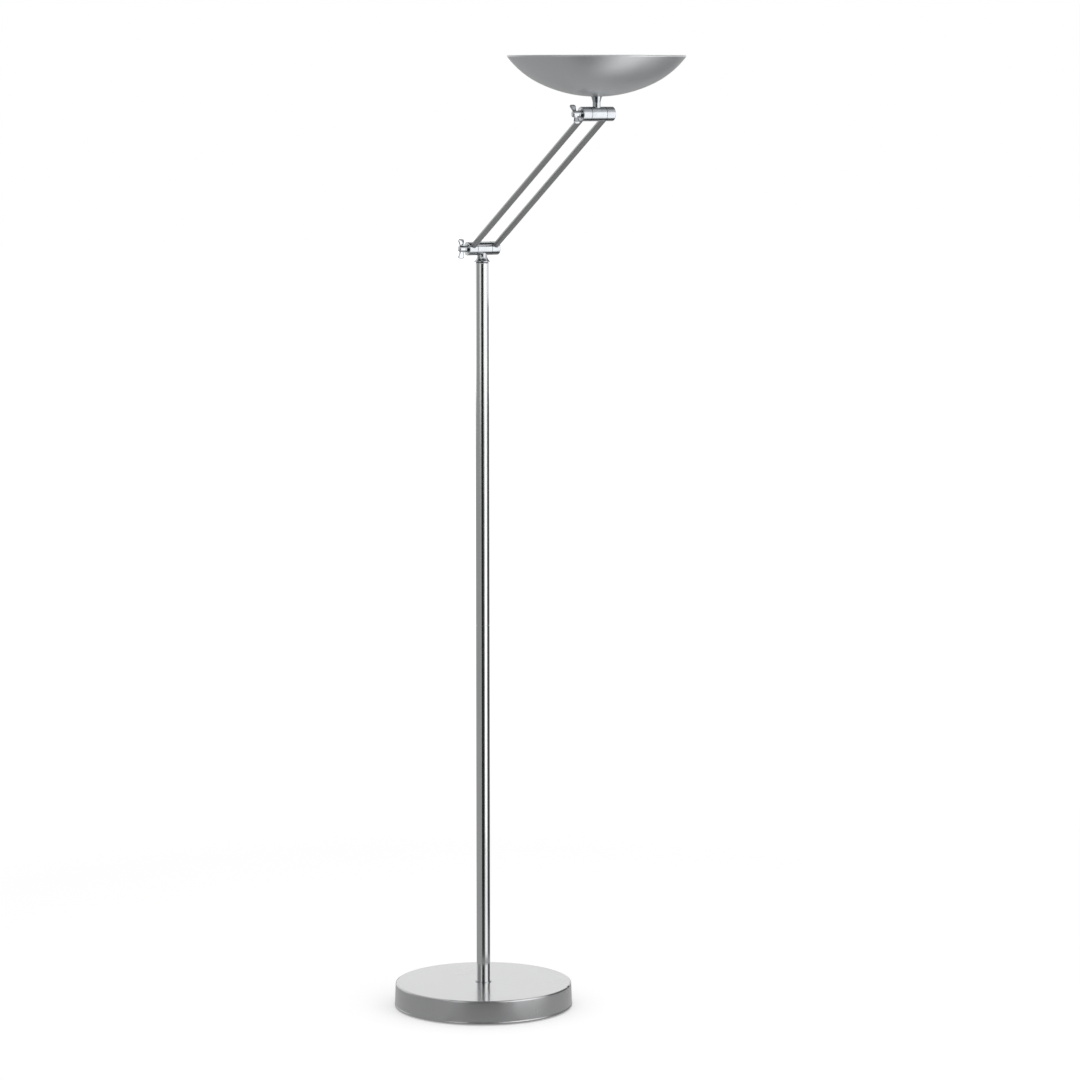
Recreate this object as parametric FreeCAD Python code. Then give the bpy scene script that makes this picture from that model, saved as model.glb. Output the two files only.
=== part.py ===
import FreeCAD
import Part
import math
import os

# Torchiere floor lamp: a weighted round base, a two-part pole, an arm of two parallel rods between
# two clamped three-knuckle hinges, and a shallow spun bowl with a double-ended lamp in it.
# Millimetres, +Z up. The origin is on the floor, on the pole's axis. The hinge axes lie along X, the
# clamping wing screws are at their -X ends, and the arm leans towards -Y.

V = FreeCAD.Vector
ORIGIN = V(0, 0, 0)
X_AXIS = V(1, 0, 0)
Y_AXIS = V(0, 1, 0)
Z_AXIS = V(0, 0, 1)

# ------------------------------------------------------------------ driving dimensions
OVERALL_HEIGHT = 1750.0       # floor to the bowl's rim
BASE_RADIUS = 165.0           # widest, at the bottom of the base's wall
BASE_HEIGHT = 45.0
POLE_RADIUS = 12.5
POLE_WALL = 1.2
POLE_TOP = 1378.0
POLE_SEAM = 712.0             # where the lower and upper tubes meet
LOWER_HINGE_Z = 1403.0
ARM_LENGTH = 476.0            # from hinge axis to hinge axis
ARM_LEAN = 58.8               # degrees from the vertical, as the arm stands at rest
ROD_RADIUS = 5.5
ROD_SPACING = 46.0            # between the two rods' axes
BARREL_RADIUS = 12.5
BARREL_LENGTH = 64.0          # over all three knuckles of a hinge
BOWL_RADIUS = 154.0           # outside of the rolled rim
LAMP_LENGTH = 117.6           # contact to contact, double-ended halogen

# ------------------------------------------------------------------ sheet, thread and fit sizes
FIT = 0.05                    # radial clearance of a thread, a bush or a running fit
AXIAL_PLAY = 0.05             # between faces that turn on each other
SHEET = 1.5                   # base cover and bowl
ROOT_RADIUS = 8.0             # hollow M16 studs that join the pole's tubes
ROOT_BORE = 6.0
NIPPLE_RADIUS = 5.0           # hollow M10 nipples of the swivel and the bowl
NIPPLE_BORE = 3.2
SHANK_RADIUS = 4.0            # M8 clamping screws
SCREW_RADIUS = 2.0            # M4 screws
ROOT_NUT_FLATS = 24.0
ROOT_NUT_HEIGHT = 8.0
ROOT_WASHER_RADIUS = 15.0
NIPPLE_NUT_FLATS = 17.0
LOOSE_HOLE = 0.3              # radial room of a screw's or a stud's hole through sheet

# ------------------------------------------------------------------ base
PAD_THICKNESS = 3.0
PAD_RADIUS = 156.0
PLATE_THICKNESS = 2.0
PLATE_RADIUS = 161.0
PLATE_SCREW_CIRCLE = 110.0
PLATE_SCREW_COUNT = 3
COUNTERSINK = 1.8             # depth and extra radius of the plate screws' heads
COVER_BOTTOM = 2.0
COVER_FLAT_RADIUS = 159.5     # edge of the flat top, where the rounded shoulder starts
COVER_SHOULDER = 3.5
COVER_BEAD = 0.6              # how far the bead at the wall's foot stands out
COVER_BEAD_HEIGHT = 4.0
WEIGHT_RADIUS = 140.0
WEIGHT_THICKNESS = 18.0
WEIGHT_HUB_RADIUS = 22.0
NUT_WELL_RADIUS = 20.0
NUT_WELL_DEPTH = 17.0
CHANNEL_WIDTH = 9.0
CHANNEL_DEPTH = 8.0
BLOCK_NEAR = 56.0             # terminal block: nearest and farthest from the pole
BLOCK_FAR = 88.0
BLOCK_WIDTH = 28.0
BLOCK_HEIGHT = 7.0            # up to the axes of its three barrels
BLOCK_PITCH = 9.0
BLOCK_BARREL_RADIUS = 4.2
POCKET_ROOM = 2.0             # round the block, in the weight
POCKET_HEIGHT = 14.0
INLET_Z = 16.0
INLET_RADIUS = 5.5
GROMMET_RADIUS = 8.0
GROMMET_BORE = 3.4
GROMMET_REACH = 2.6           # on each side of the wall's middle
LEAD_RADIUS = 2.5
LEAD_BEND = 9.0
LEAD_END = 48.0               # the lead stops this far below the swivel

# ------------------------------------------------------------------ pole and swivel
FOOT_COLLAR_RADIUS = 15.0
FOOT_COLLAR_THICKNESS = 1.2
FOOT_BUSH_LENGTH = 40.0
TOP_BUSH_LENGTH = 25.0
SEAM_CHAMFER = 0.4
SEAM_STUD_HALF = 32.0
ROOT_STUD_RISE = 35.0         # of the root stud, above the base
CRIMP_HOLE_RADIUS = 9.5       # the tube's top end is rolled in to this
FLANGE_RADIUS = 15.0
FLANGE_THICKNESS = 1.2
NECK_WAIST_RADIUS = 9.3
SWIVEL_GAP = 0.45             # between the pole's end and the neck's flange
STOP_HALF_ANGLE = 4.0         # degrees: half of the stop tab, and of the rib that it meets
STOP_RADIUS = 8.3             # middle of the groove that the tab runs in
STOP_GROOVE_HALF = 1.3
STOP_GROOVE_DEPTH = 4.0
STOP_TAB_HALF = 1.1
STOP_TAB_HEIGHT = 3.0
SPRING_RADIUS = 9.5
SPRING_RISE = 0.7             # of the disc spring's cone
SPRING_SHEET = 0.8

# ------------------------------------------------------------------ hinges and wing screws
KNUCKLE_GAP = 0.8             # friction washer between two knuckles
CENTRE_HALF = 14.5            # half the length of the centre knuckle
KNUCKLE_ROUNDING = 1.2
SADDLE_ROUNDING = 1.0         # where a neck runs into its barrel
WASHER_RADIUS = 11.6
ROD_SEAT = 6.0                # the rods stop this far from the hinge's axis
CLAMP_WASHER_RADIUS = 8.5
CLAMP_WASHER_THICKNESS = 1.2
HUB_RADIUS = 6.3
HUB_LENGTH = 15.5
HUB_WAIST = 5.6
WING_FOOT = 3.5               # where a wing leaves the hub, from the screw's axis
WING_BACK = 5.4               # wing: nearest and farthest from the barrel's end
WING_FRONT = 17.6
WING_EDGE = 0.7               # rounding of its edges
TAPPED_WALL = 3.5             # closed end of the tapped knuckle
ROD_WALL = 1.5
WING_REACH = 18.0             # wing tip from the screw's axis
WING_THICKNESS = 2.6
UPPER_WING_TURN = 28.0        # degrees that the upper screw's wings stand off the vertical

# ------------------------------------------------------------------ head, heights above the upper hinge
BOWL_BOTTOM = 29.4            # lowest point of the bowl's outer curve, were it not flattened
BOWL_LOW_RADIUS = 225.0       # curve of the bowl's middle
BOWL_HIGH_RADIUS = 155.0      # curve of its upper part
BOWL_BREAK = 26.0             # degrees from the bottom at which one curve runs into the other
BOWL_FLAT = 10.0              # radius of the flat seat on the neck
BEAD_RADIUS = 1.4             # rolled rim
HEAD_WAIST_RADIUS = 7.1
HEAD_SEAT_RADIUS = 9.6
REFLECTOR_Z = 52.0
REFLECTOR_FLOOR = 82.0
REFLECTOR_SHEET = 0.8
REFLECTOR_RIM = 93.0          # height of its rim, and the rim's two radii
REFLECTOR_RIM_INNER = 146.0
REFLECTOR_RIM_OUTER = 148.2
REFLECTOR_BEND = 117.0        # a point halfway up its wall
REFLECTOR_BEND_Z = 70.0
LEAD_HOLE_PLACE = 44.0
LEAD_HOLE_RADIUS = 4.0
BRACKET_RISE = 9.3            # of the bracket's middle, above the bowl's lowest point
BRACKET_SHEET = 2.0
BRACKET_WIDTH = 24.0
BRACKET_FLAT = 50.0           # half length of its low middle, and of the whole strip
BRACKET_END = 81.0
SUPPORT_SHEET = 1.0
SUPPORT_WIDTH = 13.0
LAMP_Z = 66.0
LAMP_RADIUS = 5.0
QUARTZ_HALF = 41.0            # half length of the lamp's quartz tube
FILAMENT_RADIUS = 0.9
HOLDER_INNER = 55.0           # lamp holders: nearest and farthest from the middle
HOLDER_OUTER = 75.0
HOLDER_TOP = 76.0
HOLDER_WIDTH = 18.0
HOLDER_SCREW_SIDE = 6.0       # holder screws, from the lamp's axis and from the holder's middle
HOLDER_SCREW_OUT = 2.0
GLASS_Z = 83.0
GLASS_THICKNESS = 4.0
GLASS_LENGTH = 150.0
GLASS_WIDTH = 75.0
GLASS_CORNER = 12.0

# ------------------------------------------------------------------ places worked out from them
LEAN = math.radians(ARM_LEAN)
LOWER_HINGE = V(0, 0, LOWER_HINGE_Z)
UPPER_HINGE = LOWER_HINGE + V(0, -math.sin(LEAN), math.cos(LEAN)) * ARM_LENGTH
KNUCKLE_INNER = CENTRE_HALF + KNUCKLE_GAP
KNUCKLE_OUTER = BARREL_LENGTH / 2
TUBE_BORE = POLE_RADIUS - POLE_WALL
PLATE_TOP = PAD_THICKNESS + PLATE_THICKNESS
WEIGHT_TOP = PLATE_TOP + WEIGHT_THICKNESS
NUT_WELL_TOP = PLATE_TOP + NUT_WELL_DEPTH
TUBE_FOOT = BASE_HEIGHT + FOOT_COLLAR_THICKNESS
NECK_FOOT = POLE_TOP + SWIVEL_GAP


# ------------------------------------------------------------------ tools of the drawing board
def outline(start, *moves):
    """Closed wire in the XZ plane. A move is the next (x, z), or a pair of points for an arc that
    passes through the first of them and ends at the second."""
    edges = []
    here = V(start[0], 0, start[1])
    for move in moves + (start,):
        if isinstance(move[0], tuple):
            through = V(move[0][0], 0, move[0][1])
            there = V(move[1][0], 0, move[1][1])
            edges.append(Part.Arc(here, through, there).toShape())
        else:
            there = V(move[0], 0, move[1])
            edges.append(Part.LineSegment(here, there).toShape())
        here = there
    return Part.Wire(edges)


def turned(start, *moves):
    """Solid turned about Z from a half section of (radius, height) points."""
    solid = Part.Face(outline(start, *moves)).revolve(ORIGIN, Z_AXIS, 360)
    if solid.Volume < 0:
        solid.reverse()
    return solid


def tube(outer, bore, low, high):
    """Plain round tube, ring or bush on Z."""
    return turned((bore, low), (outer, low), (outer, high), (bore, high))


def rod(radius, low, high):
    """Round bar on Z."""
    return Part.makeCylinder(radius, high - low, V(0, 0, low))


def strip(width, start, *moves):
    """Outline in the XZ plane, drawn out to this width along Y, half to each side."""
    face = Part.Face(outline(start, *moves))
    face.translate(V(0, -width / 2, 0))
    return face.extrude(V(0, width, 0))


def hexagon_nut(flats, bore, low, high):
    """Hexagon nut on Z, its corners turned off at both ends."""
    corner = flats / math.sqrt(3)
    corners = [V(corner * math.cos(a), corner * math.sin(a), low)
               for a in (math.radians(60 * k) for k in range(7))]
    nut = Part.Face(Part.makePolygon(corners)).extrude(V(0, 0, high - low))
    turned_off = corner - flats / 2
    cone = turned((0, low), (flats / 2, low), (corner, low + turned_off * 0.6),
                  (corner, high - turned_off * 0.6), (flats / 2, high), (0, high))
    return nut.common(cone).cut(rod(bore, low - 1, high + 1))


def on_x(shape):
    """A shape drawn on Z, laid along X: its top end then points to +X."""
    return shape.rotated(ORIGIN, Y_AXIS, 90)


def on_minus_x(shape):
    """A shape drawn on Z, laid along X with its top end to -X."""
    return shape.rotated(ORIGIN, Y_AXIS, -90)


def on_circle(shape, radius, count, first=0.0):
    """Copies of a shape that stands on Z, set round a circle."""
    placed = []
    for k in range(count):
        angle = math.radians(first + 360 * k / count)
        placed.append(shape.translated(V(radius * math.cos(angle), radius * math.sin(angle), 0)))
    return placed


def mirrored_pair(shape):
    """The shape and its mirror image on the other side of the plane x = 0."""
    return [shape, shape.mirror(ORIGIN, X_AXIS)]


def write(name, *solids):
    """One file for one node. Several solids make a group."""
    shape = solids[0] if len(solids) == 1 else Part.makeCompound(list(solids))
    if not shape.isValid() or shape.Volume <= 0:
        raise RuntimeError("bad shape for " + name)
    shape.exportStep("parts/" + name + ".step")
    print(f"{name:24s} {len(shape.Solids)} solid(s) {shape.Volume / 1000:10.2f} cm3")


# ------------------------------------------------------------------ base
def base_cover():
    """Spun sheet cover: flat top, rounded shoulder, slightly flared wall with a bead at its foot."""
    shoulder = COVER_SHOULDER
    middle = shoulder * (1 - math.sqrt(0.5))
    edge = COVER_FLAT_RADIUS + shoulder
    top = BASE_HEIGHT
    wall_foot = BASE_RADIUS - COVER_BEAD
    hole_radius = ROOT_RADIUS + LOOSE_HOLE
    under = top - SHEET
    inner = shoulder - SHEET
    inner_middle = inner * (1 - math.sqrt(0.5))
    cover = turned((hole_radius, top), (COVER_FLAT_RADIUS, top),
                   ((edge - middle, top - middle), (edge, top - shoulder)),
                   (wall_foot, COVER_BOTTOM + COVER_BEAD_HEIGHT),
                   ((BASE_RADIUS, COVER_BOTTOM + COVER_BEAD_HEIGHT / 2), (wall_foot, COVER_BOTTOM)),
                   (wall_foot - SHEET, COVER_BOTTOM),
                   (edge - SHEET, top - shoulder),
                   ((edge - SHEET - inner_middle, under - inner_middle), (COVER_FLAT_RADIUS, under)),
                   (hole_radius, under))
    hole = Part.makeCylinder(INLET_RADIUS, 20, V(0, BASE_RADIUS - 15, INLET_Z), Y_AXIS)
    return cover.cut(hole)


def cord_grommet(cover):
    """Rubber bush of the cord's inlet, at the back: a flange on each side of the wall."""
    reach = GROMMET_REACH
    wall = BASE_RADIUS - 1.8
    bore = GROMMET_BORE
    flange = GROMMET_RADIUS
    groove_end = 1.2
    ring = turned((bore, -reach), (flange, -reach + 0.8), (flange, 0), (INLET_RADIUS, 0),
                  (INLET_RADIUS, groove_end), (flange, groove_end), (flange - 0.8, reach + 0.6),
                  (bore + 0.4, reach + 1.4), (bore, reach))
    ring = ring.rotated(ORIGIN, X_AXIS, -90).translated(V(0, wall, INLET_Z))
    return ring.cut(cover)


def base_weight():
    """Cast disc with a raised hub, a well for the root nut, and a channel for the lead."""
    edge = 2.0
    draft = 1.0
    bore = ROOT_RADIUS + 0.4
    hub_top = BASE_HEIGHT - SHEET
    fillet = 8.0
    weight = turned((bore, NUT_WELL_TOP), (NUT_WELL_RADIUS, NUT_WELL_TOP),
                    (NUT_WELL_RADIUS + 1.5, PLATE_TOP), (WEIGHT_RADIUS - edge, PLATE_TOP),
                    (WEIGHT_RADIUS, PLATE_TOP + edge), (WEIGHT_RADIUS - draft, WEIGHT_TOP - edge),
                    (WEIGHT_RADIUS - draft - edge, WEIGHT_TOP), (WEIGHT_HUB_RADIUS + fillet, WEIGHT_TOP),
                    ((WEIGHT_HUB_RADIUS + 0.4 * fillet, WEIGHT_TOP + 0.3 * fillet),
                     (WEIGHT_HUB_RADIUS + draft, WEIGHT_TOP + fillet)),
                    (WEIGHT_HUB_RADIUS, hub_top), (bore, hub_top))
    channel = Part.makeBox(CHANNEL_WIDTH, WEIGHT_RADIUS + 5, CHANNEL_DEPTH,
                           V(-CHANNEL_WIDTH / 2, 0, PLATE_TOP))
    pocket_half = BLOCK_WIDTH / 2 + POCKET_ROOM
    pocket_long = BLOCK_FAR - BLOCK_NEAR + 2 * POCKET_ROOM
    pocket = Part.makeBox(2 * pocket_half, pocket_long, POCKET_HEIGHT,
                          V(-pocket_half, BLOCK_NEAR - POCKET_ROOM, PLATE_TOP))
    holes = on_circle(rod(SCREW_RADIUS + FIT, PLATE_TOP - 1, PLATE_TOP + 13),
                      PLATE_SCREW_CIRCLE, PLATE_SCREW_COUNT, 30)
    return weight.cut([channel, pocket] + holes)


def bottom_plate():
    """Sheet disc that closes the base, screwed up into the weight, its holes countersunk."""
    low = PAD_THICKNESS
    plate = turned((0, low), (PLATE_RADIUS - 0.5, low), (PLATE_RADIUS, low + 0.5),
                   (PLATE_RADIUS, PLATE_TOP), (0, PLATE_TOP))
    wide = SCREW_RADIUS + COUNTERSINK + 0.1
    hole = turned((0, low - 1), (wide, low - 1), (wide, low), (wide - COUNTERSINK, low + COUNTERSINK),
                  (wide - COUNTERSINK, PLATE_TOP + 1), (0, PLATE_TOP + 1))
    return plate.cut(on_circle(hole, PLATE_SCREW_CIRCLE, PLATE_SCREW_COUNT, 30))


def plate_screws():
    """Countersunk screws of the bottom plate, flush under it."""
    low = PAD_THICKNESS + 0.1
    screw = turned((0, low), (SCREW_RADIUS + COUNTERSINK, low), (SCREW_RADIUS, low + COUNTERSINK),
                   (SCREW_RADIUS, PLATE_TOP + 12), (0, PLATE_TOP + 12))
    return on_circle(screw, PLATE_SCREW_CIRCLE, PLATE_SCREW_COUNT, 30)


def felt_pad():
    """Felt disc stuck under the bottom plate: the lamp rests on it."""
    edge = 0.6
    return turned((0, 0), (PAD_RADIUS - edge, 0), (PAD_RADIUS, edge), (PAD_RADIUS, PAD_THICKNESS),
                  (0, PAD_THICKNESS))


def terminal_block():
    """Three-way screw terminal block, in the pocket under the weight."""
    low = PLATE_TOP + 0.5
    top = low + BLOCK_HEIGHT
    long = BLOCK_FAR - BLOCK_NEAR
    middle = (BLOCK_NEAR + BLOCK_FAR) / 2
    wire_radius = 2.0
    screw_radius = 1.9
    screw_place = long / 4
    body = Part.makeBox(BLOCK_WIDTH, long, BLOCK_HEIGHT, V(-BLOCK_WIDTH / 2, BLOCK_NEAR, low))
    ways = [BLOCK_PITCH * k for k in (-1, 0, 1)]
    for x in ways:
        body = body.fuse(Part.makeCylinder(BLOCK_BARREL_RADIUS, long, V(x, BLOCK_NEAR, top), Y_AXIS))
    for x in ways:
        body = body.cut(Part.makeCylinder(wire_radius, long + 20, V(x, BLOCK_NEAR - 10, top - 0.5), Y_AXIS))
        for y in (middle - screw_place, middle + screw_place):
            body = body.cut(Part.makeCylinder(screw_radius, BLOCK_HEIGHT, V(x, y, top)))
    return body.removeSplitter()


def pole_lead():
    """Mains lead from the terminal block along the channel, round a bend and up inside the pole."""
    low = PLATE_TOP + 3.5
    high = NECK_FOOT - LEAD_END
    bend = LEAD_BEND * (1 - math.sqrt(0.5))
    start = V(0, BLOCK_NEAR, low)
    turn_in = V(0, LEAD_BEND, low)
    turn_out = V(0, 0, low + LEAD_BEND)
    path = Part.Wire([Part.LineSegment(start, turn_in).toShape(),
                      Part.Arc(turn_in, V(0, bend, low + bend), turn_out).toShape(),
                      Part.LineSegment(turn_out, V(0, 0, high)).toShape()])
    ring = Part.Wire(Part.makeCircle(LEAD_RADIUS, start, Y_AXIS))
    return path.makePipeShell([ring], True, False)


# ------------------------------------------------------------------ pole
def lower_tube():
    """Lower half of the pole, its top edge just broken at the seam."""
    return turned((TUBE_BORE, TUBE_FOOT), (POLE_RADIUS, TUBE_FOOT), (POLE_RADIUS, POLE_SEAM - SEAM_CHAMFER),
                  (POLE_RADIUS - SEAM_CHAMFER, POLE_SEAM), (TUBE_BORE, POLE_SEAM))


def upper_tube():
    """Upper half of the pole. Its top end is rolled in over the bush below it."""
    roll = POLE_RADIUS - CRIMP_HOLE_RADIUS
    middle = roll * (1 - math.sqrt(0.5))
    inner = TUBE_BORE - CRIMP_HOLE_RADIUS
    inner_middle = inner * (1 - math.sqrt(0.5))
    inner_top = POLE_TOP - POLE_WALL
    return turned((TUBE_BORE, POLE_SEAM), (POLE_RADIUS - SEAM_CHAMFER, POLE_SEAM),
                  (POLE_RADIUS, POLE_SEAM + SEAM_CHAMFER),
                  (POLE_RADIUS, POLE_TOP - roll),
                  ((POLE_RADIUS - middle, POLE_TOP - middle), (CRIMP_HOLE_RADIUS, POLE_TOP)),
                  (CRIMP_HOLE_RADIUS, inner_top),
                  ((TUBE_BORE - inner_middle, inner_top - inner_middle), (TUBE_BORE, inner_top - inner)))


def stop_half_width():
    """Half the width of the stop's tab and of its rib."""
    return STOP_RADIUS * math.tan(math.radians(STOP_HALF_ANGLE))


def top_bush(low, high):
    """Bearing bush in the pole's top end. The stop tab runs in the round groove of its lower end,
    and a rib left across the groove ends the swivel's travel both ways."""
    bush = tube(TUBE_BORE - FIT, NIPPLE_RADIUS + FIT, low, high)
    groove = tube(STOP_RADIUS + STOP_GROOVE_HALF, STOP_RADIUS - STOP_GROOVE_HALF, low - 1,
                  low + STOP_GROOVE_DEPTH)
    half = stop_half_width()
    rib = Part.makeBox(2 * half, 2 * (STOP_RADIUS - 5.5), STOP_GROOVE_DEPTH + 2, V(-half, 5.5, low - 1))
    return bush.cut(groove.cut(rib))


def stop_washer(low, high):
    """Washer that turns with the neck, with the tab that meets the bush's rib."""
    washer = tube(10.5, NIPPLE_RADIUS + FIT, low, high)
    half = stop_half_width()
    sunk = 0.5
    ring = tube(STOP_RADIUS + STOP_TAB_HALF, STOP_RADIUS - STOP_TAB_HALF, high - sunk, high + STOP_TAB_HEIGHT)
    sector = Part.makeBox(2 * half, 6, STOP_TAB_HEIGHT + 1, V(-half, -11, high - sunk))
    return washer.fuse(ring.common(sector)).removeSplitter()


def disc_spring(high):
    """Shallow cone of spring sheet under the stop washer: it takes up the swivel's play."""
    bore = NIPPLE_RADIUS + FIT
    low = high - SPRING_SHEET
    return turned((bore, low - SPRING_RISE + 0.3), (bore + 0.95, low - SPRING_RISE), (SPRING_RADIUS, low),
                  (SPRING_RADIUS, high), (bore, high - 0.5))


# ------------------------------------------------------------------ necks and hinges
def centre_knuckle():
    """Middle barrel of a hinge, on X, before its neck is joined on."""
    return on_x(rod(BARREL_RADIUS, -CENTRE_HALF, CENTRE_HALF))


def clamp_bore(low, high):
    """What the clamping screw's hole takes out between two places along X."""
    return on_x(rod(SHANK_RADIUS + FIT, low, high))


def saddle_rounded(neck, radius, low, high):
    """Rounds the curved corner where a neck runs into its barrel, found by its height."""
    corner = [edge for edge in neck.Edges
              if low < edge.BoundBox.ZMin and edge.BoundBox.ZMax < high
              and edge.BoundBox.ZLength > 0.5 and edge.BoundBox.XLength > 1]
    return neck.makeFillet(radius, corner)


def lower_neck():
    """Trumpet neck on the pole, one casting with the lower hinge's centre knuckle."""
    foot = NECK_FOOT - LOWER_HINGE_Z
    flare_top = -13.7
    lip = foot + FLANGE_THICKNESS
    rise = flare_top - lip
    step = FLANGE_RADIUS - NECK_WAIST_RADIUS
    sweep = (step ** 2 + rise ** 2) / (2 * step)
    turn = math.asin(rise / sweep) / 2
    through = (NECK_WAIST_RADIUS + sweep * (1 - math.cos(turn)), flare_top - sweep * math.sin(turn))
    horn = turned((0, foot), (FLANGE_RADIUS, foot), (FLANGE_RADIUS, lip),
                  (through, (NECK_WAIST_RADIUS, flare_top)), (NECK_WAIST_RADIUS, 0), (0, 0))
    neck = horn.fuse(centre_knuckle()).removeSplitter()
    neck = saddle_rounded(neck, SADDLE_ROUNDING, -BARREL_RADIUS - 0.5, -2)
    neck = neck.cut([clamp_bore(-20, 20), rod(NIPPLE_RADIUS + FIT, foot - 1, -14)])
    return neck.translated(LOWER_HINGE)


def head_neck():
    """Spool neck under the bowl, one casting with the upper hinge's centre knuckle."""
    top = BOWL_BOTTOM + flat_rise()
    flare_foot = 17.0
    rise = top - flare_foot
    step = HEAD_SEAT_RADIUS - HEAD_WAIST_RADIUS
    sweep = (step ** 2 + rise ** 2) / (2 * step)
    turn = math.asin(rise / sweep) / 2
    through = (HEAD_WAIST_RADIUS + sweep * (1 - math.cos(turn)), flare_foot + sweep * math.sin(turn))
    spool = turned((0, 0), (HEAD_WAIST_RADIUS, 0), (HEAD_WAIST_RADIUS, flare_foot),
                   (through, (HEAD_SEAT_RADIUS, top)), (0, top))
    neck = spool.fuse(centre_knuckle()).removeSplitter()
    neck = saddle_rounded(neck, SADDLE_ROUNDING, 2, BARREL_RADIUS + 0.5)
    neck = neck.cut([clamp_bore(-20, 20), rod(NIPPLE_RADIUS + FIT, 15, top + 1)])
    return neck.translated(UPPER_HINGE)


def side_knuckle(tapped):
    """Outer barrel of a hinge, on +X, with the socket of its rod pointing up. The tapped one holds
    the clamping screw's thread and is closed at its end."""
    inner = KNUCKLE_INNER
    outer = KNUCKLE_OUTER
    turn_in = KNUCKLE_ROUNDING
    middle = turn_in * (1 - math.sqrt(0.5))
    barrel = on_x(turned((0, inner), (BARREL_RADIUS, inner), (BARREL_RADIUS, outer - turn_in),
                         ((BARREL_RADIUS - middle, outer - middle), (BARREL_RADIUS - turn_in, outer)),
                         (0, outer)))
    socket = rod(ROD_RADIUS + FIT, ROD_SEAT, BARREL_RADIUS + 1).translated(V(ROD_SPACING / 2, 0, 0))
    hole_end = outer - TAPPED_WALL if tapped else outer + 1
    return barrel.cut([socket, clamp_bore(inner - 1, hole_end)])


def knuckle_pair(hinge, socket_turn):
    """Left and right outer knuckles of one hinge; the sockets are turned about X to face the rods."""
    right = side_knuckle(True)
    left = side_knuckle(False).rotated(ORIGIN, Z_AXIS, 180)
    return [piece.rotated(ORIGIN, X_AXIS, socket_turn).translated(hinge) for piece in (left, right)]


def friction_washers(hinge):
    """Thin washers between the knuckles, a little smaller than the barrel, so that a groove shows."""
    washer = on_x(tube(WASHER_RADIUS, SHANK_RADIUS + FIT, CENTRE_HALF + AXIAL_PLAY, KNUCKLE_INNER))
    return [piece.translated(hinge) for piece in mirrored_pair(washer)]


def arm_rod(side):
    """One of the two parallel tubes of the arm, from socket to socket."""
    end_room = 0.2
    bar = tube(ROD_RADIUS, ROD_RADIUS - ROD_WALL, ROD_SEAT + end_room, ARM_LENGTH - ROD_SEAT - end_room)
    bar = bar.translated(V(side * ROD_SPACING / 2, 0, 0))
    return bar.rotated(ORIGIN, X_AXIS, ARM_LEAN).translated(LOWER_HINGE)


def clamp_washer(hinge):
    """Washer under the wing screw's hub."""
    washer = tube(CLAMP_WASHER_RADIUS, SHANK_RADIUS + FIT, KNUCKLE_OUTER + 0.02,
                  KNUCKLE_OUTER + CLAMP_WASHER_THICKNESS)
    return on_minus_x(washer).translated(hinge)


def wing_screw(hinge, wing_turn):
    """Clamping screw: a shank through all three knuckles, a stepped hub and two flared wings."""
    seat = KNUCKLE_OUTER + CLAMP_WASHER_THICKNESS + AXIAL_PLAY
    end = KNUCKLE_OUTER + HUB_LENGTH + 1
    tip = TAPPED_WALL + 1.5 - KNUCKLE_OUTER
    waist = HUB_WAIST
    hub = turned((0, tip), (SHANK_RADIUS - 1, tip), (SHANK_RADIUS, tip + 1), (SHANK_RADIUS, seat),
                 (HUB_RADIUS, seat), (HUB_RADIUS, seat + 3), (waist, seat + 4.2), (waist, end - 2.2),
                 ((waist - 0.7, end - 0.7), (waist - 2.2, end)), (0, end))
    back = KNUCKLE_OUTER + WING_BACK
    front = KNUCKLE_OUTER + WING_FRONT
    reach = WING_REACH
    wing = strip(WING_THICKNESS, (WING_FOOT, back + 1.6), (reach - 4, back),
                 ((reach - 0.5, back + 0.8), (reach, back + 3.6)), (reach, front - 3.6),
                 ((reach - 0.7, front - 0.6), (reach - 4, front)), (WING_FOOT, front - 3.4))
    free_edges = [edge for edge in wing.Edges if edge.BoundBox.YLength < 0.01
                  and edge.BoundBox.XMax > WING_FOOT + 0.5]
    wing = wing.makeFillet(WING_EDGE, free_edges)
    screw = hub.fuse([wing, wing.rotated(ORIGIN, Z_AXIS, 180)]).removeSplitter()
    return on_minus_x(screw).rotated(ORIGIN, X_AXIS, -wing_turn).translated(hinge)


# ------------------------------------------------------------------ head, drawn about the upper hinge
def flat_rise():
    """How far the bowl's flat seat lies above the lowest point of its curve."""
    return BOWL_LOW_RADIUS - math.sqrt(BOWL_LOW_RADIUS ** 2 - BOWL_FLAT ** 2)


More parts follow.
